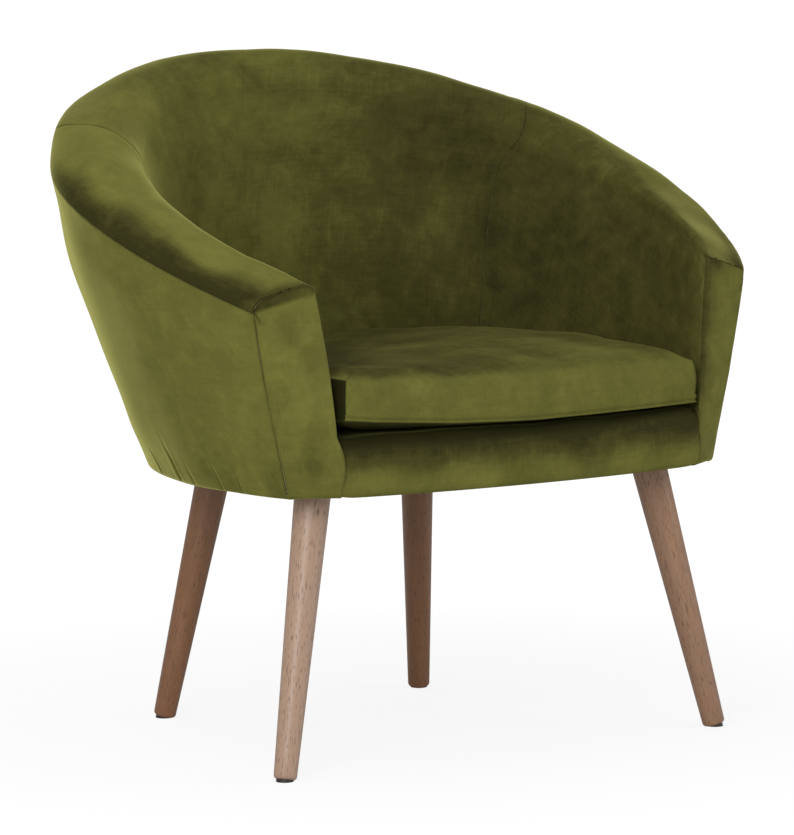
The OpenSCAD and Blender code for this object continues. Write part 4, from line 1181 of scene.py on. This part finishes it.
def sewn(rings, move):
    """The pumped rings with their seams, how dark the stitched lines are, and painted shade on the bands and
    below.
    """
    move = move * [0.35, 0.35, 1.0]
    move[LOW_ROW - 4:] = 0
    grid = rings + move
    out = unit(np.pad(outline - centre, ((0, 0), (0, 1))))[None]
    rows = np.arange(len(grid))[:, None]
    on_side = (rows > EDGE_ROW - 4) & (rows < LOW_ROW + 2)
    behind_front = into_front[None] < 0
    # Distances to the lower seam, to the upper one and to the front corners
    low = np.abs(grid[..., 2] - grid[LOW_ROW, :, 2][None]) * on_side + 1.0 * ~on_side
    high = np.linalg.norm(grid - grid[EDGE_ROW][None], axis=2)
    corner = np.minimum(np.abs(outline_at - side_run), np.minimum(outline_at, whole_run - outline_at))[None]
    face = ((rows > EDGE_ROW - 8) & (rows < LOW_ROW)).astype(float)
    band = 1 - fall_weight[None]
    # A lip of seam allowance stands out all round the lower edge
    lip = 0.0016 * bell(low, 0.0013) - 0.0012 * bell(low - 0.0035, 0.0018)
    groove = -0.0014 * bell(high, 0.0022) * band * behind_front
    gather = 0.0009 * np.sin(outline_at[None] * 2 * math.pi / 0.0062) * np.exp(-corner / 0.014) * face
    waves = 0.0008 * ripple(grid, 0.05, 81) * bell(low - 0.008, 0.012) * on_side
    tie = -0.0010 * bell(corner, 0.0018) * face
    grid = grid + out * (lip + groove + gather + waves + tie)[..., None]
    top = rows < EDGE_ROW
    grid[..., 2] += top * 0.0010 * ripple(grid, 0.12, 82) * soft((EDGE_ROW - rows) / 14)
    # Painted shade: the underside, and the side bands beside the front corners
    under = np.clip((rows - LOW_ROW + 1) / 2, 0, 1) * 0.45
    in_shade = 1.3 * band_shade() * soft((-0.002 - into_front[None]) / 0.008)
    under = np.maximum(under, in_shade * (rows > EDGE_ROW) * on_side)
    seam = np.maximum.reduce([
        0.7 * bell(high, 0.0013) * band * behind_front, 0.5 * bell(corner, 0.0010) * face,
        0.5 * bell(low - 0.0030, 0.0010) * on_side, under])
    return grid, seam


def cushion_nap(grid):
    """The pile is brushed the other way over the top, most at its back and left; painted shade below and on
    the bands.
    """
    rows = np.arange(len(grid))[:, None]
    top = soft((EDGE_ROW - 2 - rows) / 8)
    away = soft((grid[..., 1] + 0.30 - 0.45 * grid[..., 0]) / 0.30)
    under = np.clip((rows - LOW_ROW) / 3, 0, 1) * 0.55
    left = soft((-0.02 - grid[..., 0]) / 0.20)
    side = 0.76 * band_shade() * (into_front[None] < -0.001) * (rows > EDGE_ROW) * (rows < LOW_ROW)
    brushed = 0.22 + 0.34 * away + 0.60 * left * away + 0.07 * ripple(grid, 0.11, 83)
    return np.clip(0.25 + top * brushed + under + side, 0, 1)


grid, seam = sewn(rings, move)
points = with_poles(grid)
cushion.data.vertices.foreach_set("co", points.ravel())
cloth = np.column_stack([points[:, 0], points[:, 1] - points[:, 2]])
write_cloth(cushion, cushion.data.uv_layers.new(name="cloth"), cloth)
nap = cushion_nap(grid)
write_attribute(cushion, "seam", np.append(seam.ravel(), [0, 0]))
write_attribute(cushion, "nap", np.append(nap.ravel(), [nap[0].mean(), nap[-1].mean()]))
cushion.data.update()
smooth(cushion)
size = points.max(0) - points.min(0)
print("cushion", np.round(size, 3), "m, crown at", round(float(points[:, 2].max()), 4))

# %% [markdown]
# ## The zip
# A coil zip runs round the back of the cushion's band: two tapes, a row of coil
# turns and a slider with a plain pull. The tape follows the outline; one turn of
# the coil is modelled and copied.

# %% Lay the zip tape
ZIP_H, ZIP_PROUD = 0.008, 0.0012
ZIP_Z = (LOW_Z + HIGH_Z) / 2
on_band = cushion_side(np.linspace(-0.43, 0.43, 120))
line = on_band + unit(on_band - centre) * (PUFF + ZIP_PROUD)
away = unit(line - centre)
tape_rows = []
for z in np.linspace(ZIP_Z - ZIP_H / 2, ZIP_Z + ZIP_H / 2, 7):
    dished = 0.0005 * abs(z - ZIP_Z) / ZIP_H
    tape_rows.append(np.column_stack([line + away * dished, np.full(len(line), z)]))
tape_grid = np.array(tape_rows)[:, ::-1]
plain = np.zeros(tape_grid.shape[:2])
zip_tape = lay("zip_tape", tape_grid, plain, plain, 0.0006)

# %% Coil turns
COIL_R, COIL_WIRE_R, COIL_STEP = 0.0014, 0.00035, 0.0016
deselect()
bpy.ops.mesh.primitive_torus_add(major_segments=10, minor_segments=5, major_radius=COIL_R,
                                 minor_radius=COIL_WIRE_R)
turn_of_coil = bpy.context.object
coil_points = read_points(turn_of_coil) * [1.25, 0.8, 1]
run = run_of(line)
places = []
for at in np.arange(0.004, run[-1] - 0.004, COIL_STEP):
    here = spot_on(line, run, at)
    way = unit(spot_on(line, run, at + 0.001) - here)
    lean = unit(np.array([way[0], way[1], 0.35]))
    side_way = np.array([way[1], -way[0], 0.0])
    axes = np.array([np.cross(lean, side_way), side_way, lean])
    places.append((np.append(here, ZIP_Z) - side_way * 0.0001, axes))
zip_coil = copies("zip_coil", turn_of_coil, coil_points, places)
bpy.data.objects.remove(turn_of_coil)
print(len(places), "turns of coil")

# %% Slider and pull
deselect()
bpy.ops.mesh.primitive_cube_add(size=1)
zip_slider = bpy.context.object
zip_slider.name = zip_slider.data.name = "zip_slider"
bpy.ops.object.mode_set(mode="EDIT")
bpy.ops.transform.resize(value=(0.009, 0.0032, 0.0075))
bpy.ops.mesh.bevel(offset=0.0009, segments=3)
bpy.ops.mesh.primitive_cube_add(size=1, location=(0.010, -0.0022, 0))
bpy.ops.transform.resize(value=(0.018, 0.0011, 0.0045))
bpy.ops.mesh.bevel(offset=0.0004, segments=2)
bpy.ops.object.mode_set(mode="OBJECT")
end = line[6]
way = unit(line[7] - line[6])
zip_slider.data.transform(Matrix((
    (way[0], way[1], 0, end[0] + way[1] * -ZIP_PROUD), (way[1], -way[0], 0, end[1] + way[0] * ZIP_PROUD),
    (0, 0, 1, ZIP_Z), (0, 0, 0, 1))))
# These axes mirror the slider, which turns its faces inside out
zip_slider.data.flip_normals()
alone(zip_slider)
bpy.ops.object.shade_smooth_by_angle(angle=math.radians(35))
print("slider at", np.round(end, 3))

# %% [markdown]
# ## The legs
# Turned, tapered beech with a rounded foot, screwed into boards in the base. A
# cylinder gets its taper and its bevelled foot in edit mode while it still
# stands upright. That is also when the wood's own coordinates are written down,
# so that the grain follows the leg however it is splayed. Each copy is then
# leaned over its foot and cut level under the shell.

# %% Model one straight leg
LEG_TOP_R, LEG_FOOT_R, GLIDE_L, FOOT_ROUND = 0.020, 0.0125, 0.0018, 0.004
LEG_TOP_Z = UNDERSIDE + COVER_T
LEG_LONG = 0.34
# How far a leg's foot stands outside its top, to the side and to the front or back
SPLAY_X, SPLAY_Y = 0.067, 0.042


def foot_ring(z_limit):
    cage = bmesh.from_edit_mesh(straight.data)
    for v in cage.verts:
        v.select = v.co.z < z_limit
    cage.select_flush_mode()
    bmesh.update_edit_mesh(straight.data)


deselect()
bpy.ops.mesh.primitive_cylinder_add(vertices=64, radius=1, depth=LEG_LONG - GLIDE_L,
                                    location=(0, 0, (LEG_LONG + GLIDE_L) / 2))
straight = bpy.context.object
bpy.ops.object.transform_apply(location=True)
slant = math.hypot(SPLAY_X, SPLAY_Y, LEG_TOP_Z)
tapered = LEG_LONG - GLIDE_L - FOOT_ROUND
top_r = LEG_FOOT_R + (LEG_TOP_R - LEG_FOOT_R) * tapered / (slant - GLIDE_L - FOOT_ROUND)
bpy.ops.object.mode_set(mode="EDIT")
bpy.ops.mesh.select_mode(type="VERT")
bpy.ops.mesh.select_all(action="SELECT")
bpy.ops.transform.resize(value=(top_r, top_r, 1), center_override=(0, 0, 0))
bpy.ops.mesh.select_all(action="DESELECT")
foot_ring(GLIDE_L + 0.001)
bpy.ops.transform.resize(value=(LEG_FOOT_R / top_r, LEG_FOOT_R / top_r, 1), center_override=(0, 0, 0))
bpy.ops.mesh.bevel(offset=FOOT_ROUND, segments=6)
for height in np.linspace(0.03, 0.32, 12):
    bpy.ops.mesh.select_all(action="SELECT")
    bpy.ops.mesh.bisect(plane_co=(0, 0, height), plane_no=(0, 0, 1))
bpy.ops.object.mode_set(mode="OBJECT")
grain = read_points(straight)
print("straight leg", len(straight.data.vertices), "points")

# %% Lean and cut a copy for each corner
# Painted light on each leg, as a paler stain where it is lit: front left, front right, back left, back right
PAINTED_LIGHT_BY_LEG = (1.0, 0.35, 0.0, 0.0)


def leg(name, foot, top, number):
    piece = put(name, straight.data.copy())
    piece.data.name = name
    other_grain = [0.31 * number, 0.17 * number, 0.23 * number]
    write_attribute(piece, "grain", grain + other_grain, "FLOAT_VECTOR")
    write_attribute(piece, "pale", np.full(len(grain), PAINTED_LIGHT_BY_LEG[number]))
    axis = Vector((top[0] - foot[0], top[1] - foot[1], LEG_TOP_Z))
    place = Matrix.Translation((foot[0], foot[1], 0)) @ axis.to_track_quat("Z", "Y").to_matrix().to_4x4()
    piece.data.transform(place @ Matrix.Rotation(1.3 * number, 4, "Z"))
    alone(piece)
    bpy.ops.object.mode_set(mode="EDIT")
    bpy.ops.mesh.select_all(action="SELECT")
    bpy.ops.mesh.bisect(plane_co=(0, 0, LEG_TOP_Z - 0.0002), plane_no=(0, 0, 1), clear_outer=True,
                        use_fill=True)
    bpy.ops.object.mode_set(mode="OBJECT")
    bpy.ops.object.shade_smooth_by_angle(angle=math.radians(40))
    return piece


legs = []
for end, (fx, fy), (tx, ty) in zip(("front_", "back_"), FEET, LEG_TOPS):
    for side in (-1, 1):
        legs.append(leg("turned_leg_" + end + HAND[side], (side * fx, fy), (side * tx, ty), len(legs)))
bpy.data.objects.remove(straight)
print(len(legs), "legs")

# %% [markdown]
# ## Writing finishes
# A finish is a small program of nodes. The class below wraps a socket, so that
# arithmetic on it adds Math nodes, and one method makes every other node. That
# keeps each finish as short as the sentence that describes it.

# %% Sockets with arithmetic
class Wire:
    """An output socket that can be added, subtracted, multiplied and raised to a power."""

    def __init__(self, tree, socket):
        self.tree, self.socket = tree, socket

    def math(self, operation, *inputs):
        node = self.tree.nodes.new("ShaderNodeMath")
        node.operation = operation
        for slot, value in zip(node.inputs, inputs):
            plug(self.tree, slot, value)
        return Wire(self.tree, node.outputs[0])

    def __add__(self, other):
        return self.math("ADD", self, other)

    def __sub__(self, other):
        return self.math("SUBTRACT", self, other)

    def __rsub__(self, other):
        return self.math("SUBTRACT", other, self)

    def __mul__(self, other):
        return self.math("MULTIPLY", self, other)

    def __pow__(self, other):
        return self.math("POWER", self, other)

    def __rpow__(self, other):
        return self.math("POWER", other, self)

    def clip(self):
        return self.math("MINIMUM", self.math("MAXIMUM", self, 0.0), 1.0)

    __radd__, __rmul__ = __add__, __mul__


def plug(tree, slot, value):
    if isinstance(value, Wire):
        tree.links.new(value.socket, slot)
    elif isinstance(value, tuple) and len(value) == 3 and slot.type == "RGBA":
        slot.default_value = value + (1.0,)
    else:
        slot.default_value = value


print("sockets take +, -, * and **")

# %% A finish as a small program
class Finish:
    """A material, with one method that makes any node."""

    def __init__(self, name):
        self.material = bpy.data.materials.new(name)
        self.material.use_nodes = True
        self.tree = self.material.node_tree
        self.tree.nodes.clear()

    def node(self, kind, settings=None, sockets=None, out=0):
        node = self.tree.nodes.new("ShaderNode" + kind)
        for key, value in (settings or {}).items():
            if key == "stops":
                ramp = node.color_ramp.elements
                while len(ramp) < len(value):
                    ramp.new(0.5)
                for stop, (at, colour) in zip(ramp, value):
                    stop.position = at
                    stop.color = colour + (1.0,)
            else:
                setattr(node, key, value)
        for key, value in (sockets or {}).items():
            plug(self.tree, node.inputs[key], value)
        return Wire(self.tree, node.outputs[out] if node.outputs else None)

    def spot(self):
        return self.node("TexCoord", {}, {}, 3)

    def attribute(self, name, out=2):
        return self.node("Attribute", {"attribute_name": name}, {}, out)

    def ramp(self, share, *stops):
        return self.node("ValToRGB", {"stops": stops}, {0: share})

    def mixed(self, share, a, b):
        return self.node("Mix", {"data_type": "RGBA"}, {0: share, 6: a, 7: b}, 2)

    def noise(self, where, scale, detail=2.0, roughness=0.5, distortion=0.0):
        return self.node("TexNoise", {}, {"Vector": where, "Scale": scale, "Detail": detail,
                                          "Roughness": roughness, "Distortion": distortion})

    def place(self, source, scale=(1, 1, 1), turn=(0, 0, 0)):
        return self.node("Mapping", {}, {"Vector": source, "Scale": scale, "Rotation": turn})

    def surface(self, colour, rough, normal, **more):
        sockets = {"Base Color": colour, "Roughness": rough, "Normal": normal}
        shader = self.node("BsdfPrincipled", {}, sockets | more)
        self.node("OutputMaterial", {}, {"Surface": shader})
        return self.material

    def bumped(self, height, strength, distance):
        return self.node("Bump", {}, {"Height": height, "Strength": strength, "Distance": distance})


print("finishes are written with", Wire.__name__, "and", Finish.__name__)

# %% [markdown]
# ## The velvet
# Cut velvet scatters light from the tips of its pile: it is deep and dark seen
# straight on, and glows where the eye grazes it. The sheen of the shader gives
# part of that glow, and painted sheen, a paler colour mixed in where the surface
# is seen edge on, gives the rest. The colour is never even, because hands brush
# the pile this way and that: soft blotches at hand width, fine streaks along the
# lie, a darker tone where the nap attribute turns the pile, painted shade where it
# and the seam attribute carry it, and crushed pile at the seams.

# %% Olive velvet
# From pile that lies towards the light to pile that lies away from it; the dark end also gives painted shade
OLIVE_STOPS = [(0.0, (0.200, 0.194, 0.043)), (0.25, (0.140, 0.138, 0.031)),
               (0.60, (0.074, 0.070, 0.0165)), (1.0, (0.036, 0.034, 0.0090))]
CRUSHED_AND_SHADE, PAINTED_SHEEN_COLOUR, SHEEN = (0.020, 0.019, 0.005), (0.60, 0.585, 0.17), (0.74, 0.72, 0.22, 1.0)


def velvet(name, sheen, glow, edge=2.6):
    """glow is how strong the painted sheen on grazed tips is, and edge how narrow its painted rim is."""
    f = Finish(name)
    spot = f.spot()
    cloth = f.node("UVMap", {"uv_map": "cloth"})
    seam = f.attribute("seam")
    nap = f.attribute("nap")
    blotch = f.noise(spot, 10.0, 5.0, 0.62, 0.8)
    hand = f.noise(spot, 42.0, 4.0, 0.68, 0.4)
    along = f.noise(f.place(cloth, (330, 20, 1)), 1.0, 3.0, 0.65)
    across = f.noise(f.place(cloth, (20, 280, 1)), 1.0, 3.0, 0.65)
    pile = f.noise(spot, 1700.0, 2.0, 0.7)
    stray = (blotch - 0.5) * 0.60 + (hand - 0.5) * 0.80 + (along - 0.5) * 0.30 + (across - 0.5) * 0.30
    lie_and_shade = (nap + stray * (0.40 + nap * 0.75) + (pile - 0.5) * 0.14).clip()
    # The nap attribute also carries painted shade, which darkens along these stops
    colour = f.ramp(lie_and_shade, *OLIVE_STOPS)
    # Crushed pile at the seams, and painted shade where the seam attribute carries it
    colour = f.mixed(seam * 0.75, colour, CRUSHED_AND_SHADE)
    # Painted sheen: a paler colour mixed into the base colour where the surface is seen edge on
    graze = f.node("LayerWeight", {}, {"Blend": 0.5}, 1)
    painted_sheen_share = (graze * edge - (edge - 1.3)).clip() ** 1.6
    colour = f.mixed(painted_sheen_share * glow, colour, PAINTED_SHEEN_COLOUR)
    rough = 0.80 + (blotch - 0.5) * 0.22
    fluff = f.bumped(pile * 0.5 + along * 0.25 + across * 0.25, 0.30, 0.0006)
    return f.surface(colour, rough, fluff, **{"Specular IOR Level": 0.04, "Sheen Weight": sheen,
                                              "Sheen Roughness": 0.30, "Sheen Tint": SHEEN})


# Painted sheen is strongest outside, weaker inside, and left off the rail, deck and cushion
olive = velvet("olive_velvet", 0.34, 0.62)
olive_inside = velvet("olive_velvet_inside", 0.30, 0.30, 3.3)
olive_brushed = velvet("olive_velvet_brushed", 0.10, 0.0)
print("velvet", len(olive.node_tree.nodes), "nodes")

# %% [markdown]
# ## The wood of the legs
# Steamed beech, stained walnut: a fine even grain along the leg, soft bands of
# lighter and darker stain, and the short dark flecks that beech shows on every
# face. All of it is laid on the coordinates that were kept while the leg stood
# upright. A satin lacquer gives the long narrow highlight.

# %% Stained beech
f = Finish("stained_beech")
axis = f.attribute("grain", 1)
band = f.noise(f.place(axis, (40, 40, 3)), 1.0, 3.0, 0.55, 0.4)
fine = f.noise(f.place(axis, (620, 620, 22)), 1.0, 3.0, 0.6)
fleck = f.noise(f.place(axis, (900, 900, 120)), 1.0, 1.0, 0.4)
mark = f.node("MapRange", {}, {0: fleck, 1: 0.60, 2: 0.70, 3: 0.0, 4: 1.0})
pore = f.node("MapRange", {}, {0: fine, 1: 0.56, 2: 0.72, 3: 0.0, 4: 1.0})
stain = f.ramp(band * 0.7 + fine * 0.3, (0.30, (0.152, 0.064, 0.024)), (0.52, (0.242, 0.107, 0.043)),
               (0.74, (0.348, 0.170, 0.075)))
# Painted light: the lit front legs get a paler stain
stain = f.mixed(f.attribute("pale") * 0.55, stain, (0.640, 0.455, 0.340))
wood = f.mixed(mark * 0.62, stain, (0.060, 0.028, 0.016))
wood = f.mixed(pore * 0.30, wood, (0.090, 0.045, 0.027))
beech = f.surface(wood, 0.42 + fine * 0.14, f.bumped(fine * 0.5 - mark * 0.5, 0.18, 0.0003),
                  **{"Specular IOR Level": 0.45, "Coat Weight": 0.35, "Coat Roughness": 0.30})
print("beech", len(beech.node_tree.nodes), "nodes")

# %% [markdown]
# ## The finishes that stay out of sight
# Raw timber, hardboard, foam, webbing, dust cloth and fixings. They show only
# where the chair is opened up, but each is still the thing itself: sawn grain,
# pressed fibre, open cells, woven elastic.

# %% Timber, board and foam
f = Finish("raw_timber")
spot = f.spot()
year = f.noise(f.place(spot, (14, 60, 60)), 1.0, 3.0, 0.6, 1.2)
sawn = f.noise(f.place(spot, (90, 700, 700)), 1.0, 2.0, 0.6)
tone = f.ramp(year * 0.7 + sawn * 0.3, (0.3, (0.45, 0.28, 0.13)), (0.7, (0.66, 0.47, 0.26)))
timber = f.surface(tone, 0.68 + sawn * 0.2, f.bumped(sawn, 0.3, 0.0004))

f = Finish("fibreboard")
spot = f.spot()
fibre = f.noise(spot, 600.0, 4.0, 0.7)
cloud = f.noise(spot, 30.0, 2.0)
tone = f.ramp(fibre * 0.6 + cloud * 0.4, (0.3, (0.26, 0.16, 0.07)), (0.7, (0.45, 0.31, 0.16)))
fibreboard = f.surface(tone, 0.55 + fibre * 0.3, f.bumped(fibre, 0.3, 0.0003))

f = Finish("upholstery_foam")
spot = f.spot()
cells = f.node("TexVoronoi", {"feature": "F1"}, {"Vector": spot, "Scale": 800.0})
cloud = f.noise(spot, 14.0, 2.0)
tone = f.mixed((cells * 0.8 + cloud * 0.2).clip(), (0.82, 0.77, 0.52), (0.60, 0.53, 0.30))
foam = f.surface(tone, 0.9 - cells * 0.1, f.bumped(cells, 0.5, 0.0008))
print("timber, fibreboard and foam")

# %% Webbing, dust cloth and zip


def woven(name, dark, light, per_metre, gloss):
    f = Finish(name)
    spot = f.spot()
    warp, weft = (f.node("TexWave", {"wave_type": "BANDS", "bands_direction": way},
                         {"Vector": spot, "Scale": per_metre}) for way in "XY")
    cloud = f.noise(spot, 60.0, 3.0)
    cross = (warp * 0.5 + weft * 0.5) * 0.8 + cloud * 0.2
    return f.surface(f.mixed(cross.clip(), dark, light), gloss + cloud * 0.1, f.bumped(cross, 0.4, 0.0004))


webbing = woven("elastic_webbing", (0.03, 0.03, 0.03), (0.12, 0.12, 0.125), 160.0, 0.7)
dust_black = woven("dust_cloth_black", (0.010, 0.010, 0.012), (0.040, 0.040, 0.045), 320.0, 0.8)
tape_black = woven("zip_tape_black", (0.015, 0.015, 0.015), (0.06, 0.06, 0.06), 420.0, 0.6)
print("three woven finishes")

# %% Thread, plastic and steel


def mottled(name, scale, detail, dark, light, rough_by, deep):
    f = Finish(name)
    haze = f.noise(f.spot(), scale, detail)
    return f.surface(f.mixed(haze, dark, light), 0.45 + haze * 0.2, f.bumped(haze, rough_by, deep))


thread = mottled("sewing_thread", 2600.0, 2.0, (0.075, 0.073, 0.020), (0.150, 0.145, 0.042), 0.2, 0.0001)
glide = mottled("glide_plastic", 260.0, 3.0, (0.016, 0.014, 0.013), (0.038, 0.034, 0.031), 0.15, 0.0002)

f = Finish("zinc_plated_steel")
spangle = f.node("TexVoronoi", {"feature": "F1"}, {"Vector": f.spot(), "Scale": 420.0})
tone = f.mixed(spangle, (0.44, 0.46, 0.48), (0.60, 0.61, 0.62))
steel = f.surface(tone, 0.28 + spangle * 0.2, f.bumped(spangle, 0.1, 0.0002), Metallic=1.0)
print("thread, plastic and steel")

# %% [markdown]
# ## Dressing the frame
# Every new piece rides on the body that carries it, and the plain solids that it
# stands for are hidden. The solids that keep their own shape, inside the chair,
# only get their finish.

# %% Give every piece its finish and its body, and hide the solids it replaces


def dress(piece, material, slot, body, *nodes):
    piece.data.materials.clear()
    piece.data.materials.append(material)
    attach(piece, body)
    if nodes:
        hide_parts(*nodes)


def dress_pair(pair, material, *nodes):
    for piece, hand in zip(pair, HAND.values()):
        dress(piece, material, "velvet", "shell", *[node + hand for node in nodes])


dress_pair(outsides, olive, "outside_cover_")
dress_pair(arms, olive_inside, "arm_cover_")
dress(inside_back, olive_inside, "velvet", "shell", "inside_back_cover")
dress_pair(facings, olive_inside, "arm_facing_")
dress(rail, olive_brushed, "velvet", "shell", "rail_cover")
dress(deck, olive_brushed, "velvet", "shell", "deck_cover")
dress(dust, dust_black, "dust_cloth", "shell", "dust_cover")
dress(staples, steel, "steel", "shell")
dress_pair(stitches, thread)
dress(cushion, olive_brushed, "velvet", "cushion", "cushion_foam", "cushion_top_cover", "cushion_side_bands",
      "cushion_zip_band", "cushion_bottom_cover")
dress(zip_tape, tape_black, "zip_tape", "cushion", "cushion_zip")
dress(zip_coil, tape_black, "zip_tape", "cushion")
dress(zip_slider, steel, "steel", "cushion")
for piece, node in zip(legs, ("leg_front_left", "leg_front_right", "leg_back_left", "leg_back_right")):
    dress(piece, beech, "leg_wood", "shell", node)
print("pieces dressed")


def flat_area(piece):
    """Both faces of the cloth are in the mesh, so its own area is half of theirs."""
    return sum(p.area for p in piece.data.polygons) / 2


for piece in (*outsides, deck, dust):
    print(piece.name, "area", round(flat_area(piece), 3), "square metres")

# %% Finish the solids that stay
FINISH_OF_SLOT = {"leg_wood": beech, "timber": timber, "fibreboard": fibreboard, "foam": foam,
                  "webbing": webbing, "velvet": olive, "dust_cloth": dust_black, "zip_tape": tape_black,
                  "glide_plastic": glide, "steel": steel}
slot_of_node = {part["node"]: part["material_slot"] for part in frame["record"]["subparts"]}
for node, slot in slot_of_node.items():
    for place in frame["nodes"][node].material_slots:
        place.material = FINISH_OF_SLOT[slot]
print(len(slot_of_node), "solids finished")

# %% [markdown]
# ## Floor and light
# A plain pale floor, white all round for the camera, and soft light: one large
# source in front on the left, where the photograph's outer side glows, a weaker
# one on the right, and the even light of the room. The level is plain, so a
# colour renders about as it is written.

# %% Floor and backdrop
deselect()
bpy.ops.mesh.primitive_plane_add(size=120)
floor = bpy.context.object
floor.name = "floor"
f = Finish("pale_floor")
spot = f.spot()
seen_by = f.node("LightPath")
far = f.node("VectorMath", {"operation": "LENGTH"}, {0: spot}, 1)
faint = f.noise(spot, 3.0, 2.0)
matt = f.node("BsdfDiffuse", {}, {"Color": f.mixed(faint, (0.80, 0.80, 0.80), (0.82, 0.82, 0.82))})
glow = f.node("Emission", {}, {"Color": (1.0, 1.0, 1.0), "Strength": 1.08})
near = f.node("MapRange", {"interpolation_type": "SMOOTHSTEP"}, {0: far, 1: 0.45, 2: 1.5, 3: 0.80, 4: 1.0})
shade = f.node("MixShader", {}, {0: seen_by * near, 1: matt, 2: glow})
f.node("OutputMaterial", {}, {"Surface": shade})
floor.data.materials.append(f.material)
print("floor laid")

# %% The room's even light
AMBIENT = 0.40
world = bpy.data.worlds.new("room")
bpy.context.scene.world = world
world.use_nodes = True
tree = world.node_tree
tree.nodes.clear()
ray = tree.nodes.new("ShaderNodeLightPath")
seen = Wire(tree, ray.outputs["Is Camera Ray"])
sky = tree.nodes.new("ShaderNodeBackground")
plug(tree, sky.inputs["Color"], (1.0, 1.0, 1.0, 1.0))
plug(tree, sky.inputs["Strength"], seen * (1.0 - AMBIENT) + AMBIENT)
room = tree.nodes.new("ShaderNodeOutputWorld")
tree.links.new(sky.outputs[0], room.inputs["Surface"])
print("room lit at", AMBIENT)

# %% Lamps
LAMP_SIZE, LIT = 2.0, Vector((0, 0, 0.45))


def lamp(name, spot, power):
    light = bpy.data.lights.new(name, "AREA")
    light.shape = "SQUARE"
    light.size = LAMP_SIZE
    light.energy = power
    holder = put(name, light)
    holder.location = spot
    holder.rotation_euler = (LIT - Vector(spot)).to_track_quat("-Z", "Y").to_euler()


lamp("key", (-3.0, -2.6, 1.9), 78)
lamp("fill", (2.6, -2.4, 1.6), 26)
lamp("top", (-0.6, 0.4, 3.4), 18)
print("three soft lamps")

# %% View
bpy.context.scene.view_settings.view_transform = "Standard"
